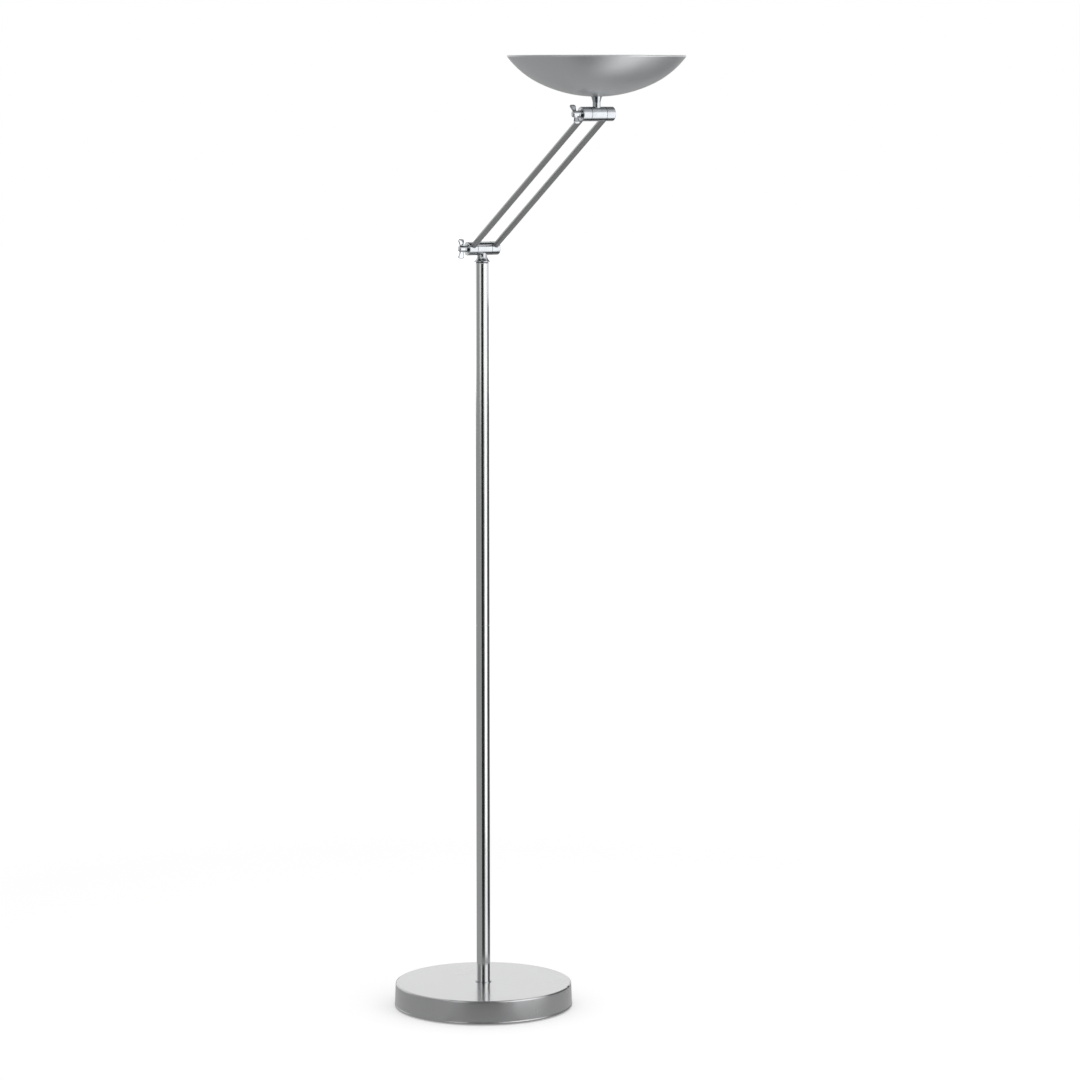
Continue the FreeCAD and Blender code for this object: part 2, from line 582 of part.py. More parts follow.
def bowl():
    """Shallow spun bowl: two arcs that run into each other, a flat seat and a rolled rim."""
    low_centre = BOWL_BOTTOM + BOWL_LOW_RADIUS
    turn = math.radians(BOWL_BREAK)
    shift = BOWL_LOW_RADIUS - BOWL_HIGH_RADIUS
    high_centre = (shift * math.sin(turn), low_centre - shift * math.cos(turn))
    rim = OVERALL_HEIGHT - UPPER_HINGE.z
    bead = (BOWL_RADIUS - BEAD_RADIUS, rim - BEAD_RADIUS)

    def low_point(angle, inward):
        radius = BOWL_LOW_RADIUS - inward
        return (radius * math.sin(angle), low_centre - radius * math.cos(angle))

    def high_point(angle, inward):
        radius = BOWL_HIGH_RADIUS - inward
        return (high_centre[0] + radius * math.sin(angle), high_centre[1] - radius * math.cos(angle))

    def high_angle(radius, inward):
        return math.asin((radius - high_centre[0]) / (BOWL_HIGH_RADIUS - inward))

    seat_angle = math.asin(BOWL_FLAT / BOWL_LOW_RADIUS)
    outer_end = high_angle(BOWL_RADIUS - 0.05, 0)
    inner_end = high_angle(BOWL_RADIUS - 2 * BEAD_RADIUS + 0.1, SHEET)
    seat = low_point(seat_angle, 0)
    inner_seat = (low_point(seat_angle, SHEET)[0], seat[1] + SHEET)
    hole = NIPPLE_RADIUS + 0.1
    shell = turned((hole, seat[1]), seat,
                   (low_point((seat_angle + turn) / 2, 0), low_point(turn, 0)),
                   (high_point((turn + outer_end) / 2, 0), high_point(outer_end, 0)),
                   (BOWL_RADIUS, bead[1]),
                   ((bead[0], rim), (bead[0] - BEAD_RADIUS, bead[1])),
                   high_point(inner_end, SHEET),
                   (high_point((turn + inner_end) / 2, SHEET), high_point(turn, SHEET)),
                   (low_point((seat_angle + turn) / 2, SHEET), inner_seat),
                   (hole, inner_seat[1]))
    return shell.translated(UPPER_HINGE)


def reflector():
    """Spun inner dish: a flat floor for the lamp holders and a curved wall up to the bowl's rim."""
    low = REFLECTOR_Z
    top = REFLECTOR_Z + REFLECTOR_SHEET
    rim = REFLECTOR_RIM
    rim_top = REFLECTOR_RIM + REFLECTOR_SHEET
    dish = turned((0, low), (REFLECTOR_FLOOR, low),
                  ((REFLECTOR_BEND, REFLECTOR_BEND_Z), (REFLECTOR_RIM_INNER, rim)),
                  (REFLECTOR_RIM_OUTER, rim), (REFLECTOR_RIM_OUTER, rim_top),
                  (REFLECTOR_RIM_INNER - 0.5, rim_top),
                  ((REFLECTOR_BEND - 0.6, REFLECTOR_BEND_Z + 0.7), (REFLECTOR_FLOOR - 0.3, top)), (0, top))
    lead_holes = mirrored_pair(rod(LEAD_HOLE_RADIUS, low - 1, top + 1).translated(V(LEAD_HOLE_PLACE, 0, 0)))
    screw_holes = holder_screw_places(rod(SCREW_RADIUS + LOOSE_HOLE, low - 1, top + 1))
    return dish.cut(lead_holes + screw_holes).translated(UPPER_HINGE)


def holder_screw_places(shape):
    """Copies of a shape at the four screws of the two lamp holders."""
    out = (HOLDER_INNER + HOLDER_OUTER) / 2 + HOLDER_SCREW_OUT
    return [shape.translated(V(end * out, side * HOLDER_SCREW_SIDE, 0)) for end in (-1, 1) for side in (-1, 1)]


def lamp_bracket():
    """Bent strip on the nipple that carries the reflector and the lamp holders."""
    low = BOWL_BOTTOM + BRACKET_RISE
    sheet = BRACKET_SHEET
    high = REFLECTOR_Z - sheet
    flat = BRACKET_FLAT
    bent = flat + high - low
    inset = 0.8
    end = BRACKET_END
    right = [(flat, low), (bent, high), (end, high), (end, high + sheet), (bent - inset, high + sheet),
             (flat - inset, low + sheet)]
    left = [(-x, z) for x, z in reversed(right)]
    shape = strip(BRACKET_WIDTH, *right, *left)
    holes = holder_screw_places(rod(SCREW_RADIUS + LOOSE_HOLE, high - 1, high + sheet + 1))
    return shape.cut([rod(NIPPLE_RADIUS + 0.1, low - 1, low + 3)] + holes).translated(UPPER_HINGE)


def glass_supports():
    """A bent strip under each lamp holder. Its legs end in hooks over the glass, with a tab below it."""
    base = REFLECTOR_Z + REFLECTOR_SHEET
    half = GLASS_WIDTH / 2 + 0.5
    sheet = SUPPORT_SHEET
    hook = GLASS_Z + GLASS_THICKNESS + 0.2
    hook_in = half - 3
    tab = GLASS_Z - 0.1
    tab_in = half - 3.5
    inner = HOLDER_INNER + 2
    wide = SUPPORT_WIDTH
    side = [(half + sheet, base), (half + sheet, hook + sheet), (hook_in, hook + sheet), (hook_in, hook),
            (half, hook), (half, tab), (tab_in, tab), (tab_in, tab - sheet), (half, tab - sheet),
            (half, base + sheet)]
    points = side + [(-y, z) for y, z in reversed(side)]
    support = strip(wide, *points).rotated(ORIGIN, Z_AXIS, 90).translated(V(inner + wide / 2, 0, 0))
    both = [support, support.rotated(ORIGIN, Z_AXIS, 180)]
    holes = holder_screw_places(rod(SCREW_RADIUS + LOOSE_HOLE, base - 1, base + sheet + 1))
    return [piece.cut(holes).translated(UPPER_HINGE) for piece in both]


def lamp_holder(side):
    """Ceramic end holder of the lamp, with its round socket facing the middle of the bowl."""
    low = REFLECTOR_Z + REFLECTOR_SHEET + SUPPORT_SHEET
    wide = HOLDER_WIDTH
    body = Part.makeBox(HOLDER_OUTER - HOLDER_INNER, wide, HOLDER_TOP - low, V(HOLDER_INNER, -wide / 2, low))
    top_edges = [edge for edge in body.Edges if edge.BoundBox.ZMin > HOLDER_TOP - 0.1
                 and edge.BoundBox.XLength > 1]
    body = body.makeFillet(5, top_edges)
    mouth = HOLDER_INNER - 1
    socket_end = HOLDER_INNER + 6.5
    socket = on_x(turned((0, mouth), (6, mouth), (4.4, socket_end), (0, socket_end)))
    screws = holder_screw_places(rod(SCREW_RADIUS + FIT, low - 1, low + 9.5))
    body = body.cut([socket.translated(V(0, 0, LAMP_Z))] + screws)
    if side < 0:
        body = body.rotated(ORIGIN, Z_AXIS, 180)
    return body.translated(UPPER_HINGE)


def holder_screws():
    """Four screws, up through bracket, reflector and glass support into the lamp holders."""
    low = REFLECTOR_Z - BRACKET_SHEET
    head = 2.4
    length = 12.0
    screw = turned((0, low - head), (2.2, low - head), ((3.2, low - 1.7), (3.5, low)), (SCREW_RADIUS, low),
                   (SCREW_RADIUS, low + length), (0, low + length))
    return [piece.translated(UPPER_HINGE) for piece in holder_screw_places(screw)]


def lamp_envelope():
    """Quartz tube of the double-ended lamp."""
    quartz = tube(LAMP_RADIUS, LAMP_RADIUS - 1, -QUARTZ_HALF, QUARTZ_HALF)
    return on_x(quartz).translated(UPPER_HINGE + V(0, 0, LAMP_Z))


def lamp_end_caps():
    """Ceramic ends of the lamp: a plug in the tube, a stepped body and the contact button."""
    contact = LAMP_LENGTH / 2
    plug = LAMP_RADIUS - 1 - FIT
    start = QUARTZ_HALF - 3
    shoulder = QUARTZ_HALF + 3
    button = contact - 1.2
    cap = on_x(turned((0, start), (plug, start), (plug, QUARTZ_HALF), (4.8, QUARTZ_HALF), (4.8, shoulder),
                      (3.6, shoulder + 2), (3.6, button), (1.5, button), (1.5, contact), (0, contact)))
    return [piece.translated(UPPER_HINGE + V(0, 0, LAMP_Z)) for piece in mirrored_pair(cap)]


def cover_glass():
    """Clear toughened sheet over the lamp, its corners rounded and its edges ground."""
    plate = Part.makeBox(GLASS_LENGTH, GLASS_WIDTH, GLASS_THICKNESS,
                         V(-GLASS_LENGTH / 2, -GLASS_WIDTH / 2, GLASS_Z))
    plate = plate.makeFillet(GLASS_CORNER, [edge for edge in plate.Edges if edge.BoundBox.ZLength > 1])
    return plate.translated(UPPER_HINGE)


# ------------------------------------------------------------------ the assembly
def write_base():
    """The base, with what it holds, and the lead that rises out of it."""
    cover = base_cover()
    write("base_cover", cover)
    write("cord_grommet", cord_grommet(cover))
    write("base_weight", base_weight())
    write("base_bottom_plate", bottom_plate())
    write("base_plate_screws", *plate_screws())
    write("base_felt_pad", felt_pad())
    write("terminal_block", terminal_block())
    write("pole_lead", pole_lead())


def write_pole():
    """Both tubes of the pole, with the studs and bushes inside them."""
    bore = ROOT_RADIUS + FIT
    bush = TUBE_BORE - FIT
    nut_top = NUT_WELL_TOP - 2
    nut_foot = nut_top - ROOT_NUT_HEIGHT
    write("pole_root_stud", tube(ROOT_RADIUS, ROOT_BORE, nut_foot, BASE_HEIGHT + ROOT_STUD_RISE))
    write("pole_root_nut", hexagon_nut(ROOT_NUT_FLATS, bore, nut_foot, nut_top))
    write("pole_root_washer", tube(ROOT_WASHER_RADIUS, bore, nut_top, NUT_WELL_TOP))
    write("pole_foot_collar", tube(FOOT_COLLAR_RADIUS, bore, BASE_HEIGHT, TUBE_FOOT))
    write("pole_foot_bush", tube(bush, bore, TUBE_FOOT, TUBE_FOOT + FOOT_BUSH_LENGTH))
    write("lower_tube", lower_tube())
    write("seam_lower_bush", tube(bush, bore, POLE_SEAM - FOOT_BUSH_LENGTH, POLE_SEAM))
    write("seam_stud", tube(ROOT_RADIUS, ROOT_BORE, POLE_SEAM - SEAM_STUD_HALF, POLE_SEAM + SEAM_STUD_HALF))
    write("seam_upper_bush", tube(bush, bore, POLE_SEAM, POLE_SEAM + FOOT_BUSH_LENGTH))
    write("upper_tube", upper_tube())


def write_swivel():
    """The bearing in the pole's top end, and the neck that turns in it."""
    bush_top = POLE_TOP - POLE_RADIUS + CRIMP_HOLE_RADIUS
    bush_foot = bush_top - TOP_BUSH_LENGTH
    washer_top = bush_foot - AXIAL_PLAY
    washer_foot = washer_top - 2
    nut_top = washer_top - 3.6
    bore = NIPPLE_RADIUS + FIT
    write("pole_top_bush", top_bush(bush_foot, bush_top))
    write("swivel_thrust_ring", tube(CRIMP_HOLE_RADIUS - 0.3, bore, bush_top, NECK_FOOT - AXIAL_PLAY))
    write("lower_neck", lower_neck())
    write("swivel_nipple", tube(NIPPLE_RADIUS, NIPPLE_BORE, washer_top - 12, LOWER_HINGE_Z - 15))
    write("swivel_stop_washer", stop_washer(washer_foot, washer_top))
    write("swivel_disc_spring", disc_spring(washer_foot))
    write("swivel_nut", hexagon_nut(NIPPLE_NUT_FLATS, bore, nut_top - 6, nut_top))


def write_arm():
    """Both hinges' outer knuckles, the rods between them and the clamping screws."""
    lower_left, lower_right = knuckle_pair(LOWER_HINGE, ARM_LEAN)
    upper_left, upper_right = knuckle_pair(UPPER_HINGE, ARM_LEAN + 180)
    write("lower_knuckle_left", lower_left)
    write("lower_knuckle_right", lower_right)
    write("lower_friction_washers", *friction_washers(LOWER_HINGE))
    write("arm_rod_left", arm_rod(-1))
    write("arm_rod_right", arm_rod(1))
    write("upper_knuckle_left", upper_left)
    write("upper_knuckle_right", upper_right)
    write("upper_friction_washers", *friction_washers(UPPER_HINGE))
    write("lower_clamp_washer", clamp_washer(LOWER_HINGE))
    write("lower_wing_screw", wing_screw(LOWER_HINGE, 0))
    write("upper_clamp_washer", clamp_washer(UPPER_HINGE))
    write("upper_wing_screw", wing_screw(UPPER_HINGE, UPPER_WING_TURN))


def write_head():
    """The bowl on its neck, and all that the bowl holds."""
    seat = BOWL_BOTTOM + flat_rise() + SHEET
    nut_foot = seat + 1.5
    bracket = BOWL_BOTTOM + BRACKET_RISE
    bracket_top = bracket + BRACKET_SHEET
    bore = NIPPLE_RADIUS + FIT
    flats = NIPPLE_NUT_FLATS
    at_head = UPPER_HINGE
    write("head_neck", head_neck())
    write("bowl", bowl())
    write("head_nipple", tube(NIPPLE_RADIUS, NIPPLE_BORE, 15.5, bracket + 8.5).translated(at_head))
    write("head_washer", tube(BOWL_FLAT - 0.3, bore, seat, nut_foot).translated(at_head))
    write("head_nut", hexagon_nut(flats, bore, nut_foot, bracket).translated(at_head))
    write("lamp_bracket", lamp_bracket())
    write("bracket_nut", hexagon_nut(flats, bore, bracket_top, bracket_top + 5).translated(at_head))
    write("reflector", reflector())
    write("glass_supports", *glass_supports())
    write("lamp_holder_left", lamp_holder(-1))
    write("lamp_holder_right", lamp_holder(1))
    write("holder_screws", *holder_screws())
    write("lamp_envelope", lamp_envelope())
    write("lamp_end_caps", *lamp_end_caps())
    filament = rod(FILAMENT_RADIUS, -QUARTZ_HALF + 3, QUARTZ_HALF - 3)
    write("lamp_filament", on_x(filament).translated(at_head + V(0, 0, LAMP_Z)))
    write("cover_glass", cover_glass())


os.makedirs("parts", exist_ok=True)
write_base()
write_pole()
write_swivel()
write_arm()
write_head()
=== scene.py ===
import logging
import math
from abc import ABC, abstractmethod
from collections.abc import Callable
from dataclasses import dataclass

import bmesh
import bpy
import numpy as np
from mathutils import Matrix, Vector


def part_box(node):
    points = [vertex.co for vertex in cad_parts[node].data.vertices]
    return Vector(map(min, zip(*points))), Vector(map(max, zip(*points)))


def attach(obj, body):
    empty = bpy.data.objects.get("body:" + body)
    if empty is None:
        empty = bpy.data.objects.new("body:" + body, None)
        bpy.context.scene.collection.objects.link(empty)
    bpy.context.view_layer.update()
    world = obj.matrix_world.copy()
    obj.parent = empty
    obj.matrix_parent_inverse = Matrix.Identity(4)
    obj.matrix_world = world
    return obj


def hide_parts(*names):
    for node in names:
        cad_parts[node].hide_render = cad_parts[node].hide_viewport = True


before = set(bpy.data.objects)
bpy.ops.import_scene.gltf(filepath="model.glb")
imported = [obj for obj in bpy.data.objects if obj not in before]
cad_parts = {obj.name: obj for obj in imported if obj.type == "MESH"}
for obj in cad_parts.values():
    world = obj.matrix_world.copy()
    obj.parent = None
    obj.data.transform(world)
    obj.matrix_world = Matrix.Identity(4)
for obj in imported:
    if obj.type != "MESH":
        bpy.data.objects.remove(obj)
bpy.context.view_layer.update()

# The floor lamp's finishes and finer pieces, dressed on its fixed frame. Metres, +Z up. The pole
# stands on the origin, the hinge axes lie along X, and the arm leans towards -Y.

MM = 0.001
WHITE = (1.0, 1.0, 1.0, 1.0)
Colour = tuple[float, float, float]
Point = tuple[float, float, float]
Socket = bpy.types.NodeSocket
log = logging.getLogger("floor_lamp")


def grey(level: float, warmth: float = 0.0) -> Colour:
    """A linear grey, pulled towards red and away from blue by its warmth."""
    return (level * (1 + warmth), level, level * (1 - warmth))


# ------------------------------------------------------------------ surfaces
@dataclass(frozen=True)
class Shell:
    """One surface: points (n, 3) in metres and quads (m, 4) of their indices."""

    points: np.ndarray
    quads: np.ndarray

    @staticmethod
    def from_grid(grid: np.ndarray, round_rows: bool = False, round_columns: bool = True) -> "Shell":
        """Joins a grid of points into quads.

        Args:
            grid: Points as (rows, columns, 3).
            round_rows: Whether the last row joins the first.
            round_columns: Whether the last column joins the first.

        Returns:
            The surface. Quad (i, j) has the corners (i, j), (i, j+1), (i+1, j+1), (i+1, j).
        """
        rows, columns = grid.shape[:2]
        i, j = np.meshgrid(np.arange(rows - (not round_rows)), np.arange(columns - (not round_columns)),
                           indexing="ij")
        i_next, j_next = (i + 1) % rows, (j + 1) % columns
        quads = np.stack([i * columns + j, i * columns + j_next, i_next * columns + j_next,
                          i_next * columns + j], axis=-1)
        return Shell(grid.reshape(-1, 3), quads.reshape(-1, 4))

    def turned_to(self, axes: np.ndarray) -> "Shell":
        """The surface with its own x, y and z laid along the rows of axes."""
        return Shell(self.points @ np.asarray(axes, float), self.quads)

    def moved(self, place: Point) -> "Shell":
        """The surface moved by place."""
        return Shell(self.points + np.asarray(place, float), self.quads)

    def joined(self, *others: "Shell") -> "Shell":
        """This surface and the others in one mesh, their indices counted on."""
        every = (self, *others)
        starts = np.cumsum([0] + [len(s.points) for s in every[:-1]])
        return Shell(np.vstack([s.points for s in every]),
                     np.vstack([s.quads + start for s, start in zip(every, starts)]))


class Section:
    """A half section of (radius, height) points, drawn with straight runs and arcs."""

    def __init__(self, radius: float, height: float) -> None:
        """Starts the section at one point."""
        self.points = np.array([[radius, height]])

    def to(self, radius: float, height: float) -> "Section":
        """A straight run to a point."""
        self.points = np.vstack([self.points, [radius, height]])
        return self

    def arc(self, centre: tuple[float, float], radius: float, start: float, end: float,
            steps: int = 8) -> "Section":
        """An arc about a centre.

        Args:
            centre: Its (radius, height).
            radius: Of the arc.
            start: Angle of the first point in degrees, from the outward direction towards up.
            end: Angle of the last point.
            steps: Points along it.

        Returns:
            The section, with centre + radius (cos t, sin t) for t from start to end.
        """
        t = np.radians(np.linspace(start, end, steps))
        run = np.column_stack([centre[0] + radius * np.cos(t), centre[1] + radius * np.sin(t)])
        self.points = np.vstack([self.points, run])
        return self

    def turned(self, sides: int, ring: bool = False) -> Shell:
        """The section turned once about Z.

        Args:
            sides: Steps round the turn.
            ring: Whether the section closes on itself and leaves a bore.

        Returns:
            Points (r cos u, r sin u, h) for each (r, h) of the section and u round the circle.
        """
        u = np.linspace(0, 2 * math.pi, sides, endpoint=False)
        radius, height = self.points[:, :1], self.points[:, 1:]
        rise = np.broadcast_to(height, (len(radius), sides))
        grid = np.stack([radius * np.cos(u), radius * np.sin(u), rise], axis=-1)
        return Shell.from_grid(grid, round_rows=ring)


def carried(path: np.ndarray, side: np.ndarray, radius: float, sides: int, ring: bool = False) -> Shell:
    """A round wire carried along a path.

    Args:
        path: Points of its centre line (n, 3).
        side: A direction across the path at each point (n, 3), which the wire's first edge faces.
        radius: Of the wire.
        sides: Of the wire's section.
        ring: Whether the path closes on itself.

    Returns:
        Points c + radius (cos v a + sin v b), where a is the side direction made square to the
        path and b stands across both.
    """
    along = np.roll(path, -1, 0) - np.roll(path, 1, 0) if ring else np.gradient(path, axis=0)
    along = along / np.linalg.norm(along, axis=1, keepdims=True)
    a = side - np.sum(side * along, axis=1, keepdims=True) * along
    a = a / np.linalg.norm(a, axis=1, keepdims=True)
    b = np.cross(along, a)
    v = np.linspace(0, 2 * math.pi, sides, endpoint=False)[None, :, None]
    grid = path[:, None] + radius * (np.cos(v) * a[:, None] + np.sin(v) * b[:, None])
    return Shell.from_grid(grid, round_rows=ring)


ALONG_X = ((0, 1, 0), (0, 0, 1), (1, 0, 0))
SAME_POINT = 0.002 * MM            # points this close are one
NO_EDGE = 0.001 * MM               # an edge this short is dropped


def as_piece(name: str, shell: Shell, body: str, slot: str, replaced: tuple[str, ...] = (),
             sharp: float = 34.0, close: bool = False) -> bpy.types.Object:
    """Makes a piece of the lamp from a surface, and sets it on its body.

    Args:
        name: Of the piece.
        shell: Its surface, where it stands at rest.
        body: That it moves with.
        slot: Whose finish it takes.
        replaced: Frame nodes that it stands for.
        sharp: Angle in degrees past which an edge stays crisp.
        close: Whether the open ends are closed with a flat face.

    Returns:
        The piece, at the origin, its faces pointing outwards.
    """
    mesh = bpy.data.meshes.new(name)
    mesh.from_pydata(shell.points.tolist(), [], shell.quads.tolist())
    work = bmesh.new()
    work.from_mesh(mesh)
    bmesh.ops.remove_doubles(work, verts=work.verts, dist=SAME_POINT)
    bmesh.ops.dissolve_degenerate(work, edges=work.edges, dist=NO_EDGE)
    if close:
        bmesh.ops.holes_fill(work, edges=[e for e in work.edges if e.is_boundary], sides=0)
    bmesh.ops.recalc_face_normals(work, faces=work.faces)
    work.to_mesh(mesh)
    work.free()
    mesh.shade_smooth()
    mesh.set_sharp_from_angle(angle=math.radians(sharp))
    piece = bpy.data.objects.new(name, mesh)
    bpy.context.scene.collection.objects.link(piece)
    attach(piece, body)
    if replaced:
        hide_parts(*replaced)
    mesh.materials.append(MATERIALS[slot])
    log.info("%s: %d faces on %s, in %s", name, len(mesh.polygons), body, slot)
    return piece


# ------------------------------------------------------------------ node work
class Bench:
    """A shader node tree, and short ways to place and join its nodes."""

    def __init__(self, tree: bpy.types.NodeTree) -> None:
        """Works on this tree."""
        self.tree = tree

    def feed(self, socket: Socket, value: object) -> None:
        """Joins a socket to another, or sets its value."""
        if isinstance(value, bpy.types.NodeSocket):
            self.tree.links.new(value, socket)
        elif socket.type == "RGBA" and len(value) == 3:
            socket.default_value = (*value, 1.0)
        else:
            socket.default_value = value

    def node(self, kind: str, inputs: dict | None = None, **settings: object) -> bpy.types.Node:
        """Places a node.

        Args:
            kind: Its type, without the ShaderNode prefix.
            inputs: Sockets or values by input name or number.
            **settings: Its own properties.

        Returns:
            The node.
        """
        node = self.tree.nodes.new("ShaderNode" + kind)
        for name, value in settings.items():
            setattr(node, name, value)
        for name, value in (inputs or {}).items():
            self.feed(node.inputs[name], value)
        return node

    def sum(self, operation: str, *values: object) -> Socket:
        """One step of arithmetic on sockets or numbers."""
        return self.node("Math", dict(enumerate(values)), operation=operation).outputs[0]

    def span(self, value: Socket, low: float, high: float, to_low: object, to_high: object) -> Socket:
        """A value's place between low and high, as a place between to_low and to_high."""
        return self.node("MapRange", {0: value, 1: low, 2: high, 3: to_low, 4: to_high}).outputs[0]

    def spread(self, noise: Socket, to_low: object, to_high: object) -> Socket:
        """Noise, which mostly keeps between 0.3 and 0.7, spread between to_low and to_high."""
        return self.span(noise, 0.3, 0.7, to_low, to_high)

    def mix(self, share: object, first: object, second: object, kind: str = "MIX") -> Socket:
        """Two colours mixed by a share."""
        node = self.node("Mix", {0: share, 6: first, 7: second}, data_type="RGBA", blend_type=kind)
        return node.outputs[2]

    def noise(self, where: Socket, scale: object, detail: float = 2.0) -> Socket:
        """Noise between 0 and 1, usually near 0.5."""
        return self.node("TexNoise", {"Vector": where, "Scale": scale, "Detail": detail}).outputs["Fac"]

    def place(self, centre: Point = (0, 0, 0), turn: Point = (0, 0, 0), scale: Point = (1, 1, 1)) -> Socket:
        """Object coordinates, measured from a centre, turned in degrees and then scaled."""
        where = self.node("TexCoord").outputs["Object"]
        if any(centre):
            where = self.node("VectorMath", {0: where, 1: centre}, operation="SUBTRACT").outputs[0]
        if not any(turn) and scale == (1, 1, 1):
            return where
        angles = tuple(math.radians(a) for a in turn)
        return self.node("Mapping", {"Vector": where, "Rotation": angles, "Scale": scale}).outputs[0]


class Effect:
    """A surface effect that several finishes share, kept as one shader node group."""

    def __init__(self, name: str, inputs: dict[str, object], outputs: tuple[str, ...],
                 wire: Callable[[Bench, dict[str, Socket]], dict[str, Socket]]) -> None:
        """Builds the group.

        Args:
            name: Of the group.
            inputs: Default values by input name: a number, a colour of 4 or a vector of 3.
            outputs: Names of its number outputs; one named Colour is a colour.
            wire: Lays the group's nodes between its inputs and its outputs.
        """
        self.group = bpy.data.node_groups.new(name, "ShaderNodeTree")
        face = self.group.interface
        for label, value in inputs.items():
            kinds = {4: "NodeSocketColor", 3: "NodeSocketVector"}
            kind = kinds[len(value)] if isinstance(value, tuple) else "NodeSocketFloat"
            socket = face.new_socket(label, in_out="INPUT", socket_type=kind)
            socket.default_value = value
        for label in outputs:
            kind = "NodeSocketColor" if label == "Colour" else "NodeSocketFloat"
            face.new_socket(label, in_out="OUTPUT", socket_type=kind)
        bench = Bench(self.group)
        entry = self.group.nodes.new("NodeGroupInput")
        leave = self.group.nodes.new("NodeGroupOutput")
        results = wire(bench, {s.name: s for s in entry.outputs if s.name})
        for label, socket in results.items():
            bench.feed(leave.inputs[label], socket)

    def on(self, bench: Bench, **values: object) -> bpy.types.bpy_prop_collection:
        """Places the group in a material.

        Args:
            bench: The material's.
            **values: Sockets or values by input name.

        Returns:
            The placed group's outputs.
        """
        node = bench.tree.nodes.new("ShaderNodeGroup")
        node.node_tree = self.group
        for label, value in values.items():
            bench.feed(node.inputs[label], value)
        return node.outputs


def wire_flake(bench: Bench, given: dict[str, Socket]) -> dict[str, Socket]:
    """Metal flake in paint: each cell of a fine pattern is lighter or darker, under a broad tone."""
    cells = bench.node("TexVoronoi", {"Vector": given["Where"], "Scale": given["Grain"]}).outputs["Color"]
    sparkle = bench.node("SeparateColor", {0: cells}).outputs[0]
    lift = bench.span(sparkle, 0, 1, bench.sum("SUBTRACT", 1, given["Sparkle"]),
                      bench.sum("ADD", 1, given["Sparkle"]))
    broad = bench.spread(bench.noise(given["Where"], 7), 0.97, 1.03)
    shade = bench.sum("MULTIPLY", lift, broad)
    grey_shade = bench.node("CombineColor", {0: shade, 1: shade, 2: shade}).outputs[0]
    return {"Colour": bench.mix(1.0, given["Paint"], grey_shade, "MULTIPLY")}


def wire_peel(bench: Bench, given: dict[str, Socket]) -> dict[str, Socket]:
    """Orange peel of sprayed lacquer: a low rounded ripple of two sizes, as a height in metres."""
    coarse = bench.noise(given["Where"], given["Ripple"], 0)
    fine = bench.noise(given["Where"], bench.sum("MULTIPLY", given["Ripple"], 3.1), 0)
    both = bench.sum("ADD", coarse, bench.sum("MULTIPLY", fine, 0.25))
    return {"Height": bench.sum("MULTIPLY", both, given["Depth"])}


HAIR_TURN = (0.5, 0.3, 0.9)        # radians, so that hairlines run aslant of every axis
HAIR_SCALE = (900, 40, 60)         # noise drawn out into lines


def wire_handled(bench: Bench, given: dict[str, Socket]) -> dict[str, Socket]:
    """Traces of cloths and fingers: roughness that rises in soft patches and along faint hairlines."""
    patches = bench.span(bench.noise(given["Where"], given["Spread"], 3), 0.5, 0.75, 0, 1)
    lines = bench.node("Mapping", {"Vector": given["Where"], "Rotation": HAIR_TURN, "Scale": HAIR_SCALE})
    hair = bench.span(bench.noise(lines.outputs[0], 1, 0), 0.66, 0.72, 0, 0.5)
    marks = bench.sum("MULTIPLY", bench.sum("MAXIMUM", patches, hair), given["Marks"])
    return {"Roughness": bench.sum("ADD", given["Base"], marks)}


def wire_rings(bench: Bench, given: dict[str, Socket]) -> dict[str, Socket]:
    """Fine rings that a turning tool or a spinning roller leaves about Z, uneven from ring to ring."""
    flat = bench.node("VectorMath", {0: given["Where"], 1: (1, 1, 0)}, operation="MULTIPLY").outputs[0]
    radius = bench.node("VectorMath", {0: flat}, operation="LENGTH").outputs["Value"]
    high = bench.node("SeparateXYZ", {0: given["Where"]}).outputs[2]
    row = bench.node("CombineXYZ", {0: bench.sum("DIVIDE", radius, given["Pitch"]),
                                    1: bench.sum("DIVIDE", high, given["Pitch"])}).outputs[0]
    fine = bench.noise(row, 1.0, 1)
    broad = bench.noise(row, 0.13, 1)
    both = bench.sum("ADD", bench.sum("MULTIPLY", fine, 0.7), bench.sum("MULTIPLY", broad, 0.3))
    return {"Height": bench.sum("MULTIPLY", both, given["Depth"]), "Shade": both}


def wire_grain(bench: Bench, given: dict[str, Socket]) -> dict[str, Socket]:
    """Brushed grain: noise drawn out along X of the place that it is given."""
    drawn = bench.node("Mapping", {"Vector": given["Where"], "Scale": (25, 2600, 2600)}).outputs[0]
    line = bench.noise(drawn, 1, 2)
    return {"Height": bench.sum("MULTIPLY", line, given["Depth"]), "Shade": line}


def wire_dust(bench: Bench, given: dict[str, Socket]) -> dict[str, Socket]:
    """Thin dust: a mask on faces that look up, broken into specks and soft patches."""
    up = bench.node("SeparateXYZ", {0: bench.node("NewGeometry").outputs["Normal"]}).outputs[2]
    facing = bench.span(up, 0.35, 0.95, 0, 1)
    specks = bench.span(bench.noise(given["Where"], 1400, 2), 0.52, 0.72, 0, 1)
    patches = bench.spread(bench.noise(given["Where"], 11, 3), 0.3, 1)
    cover = bench.sum("MULTIPLY", bench.sum("MULTIPLY", specks, patches), facing)
    return {"Mask": bench.sum("MULTIPLY", cover, given["Amount"])}


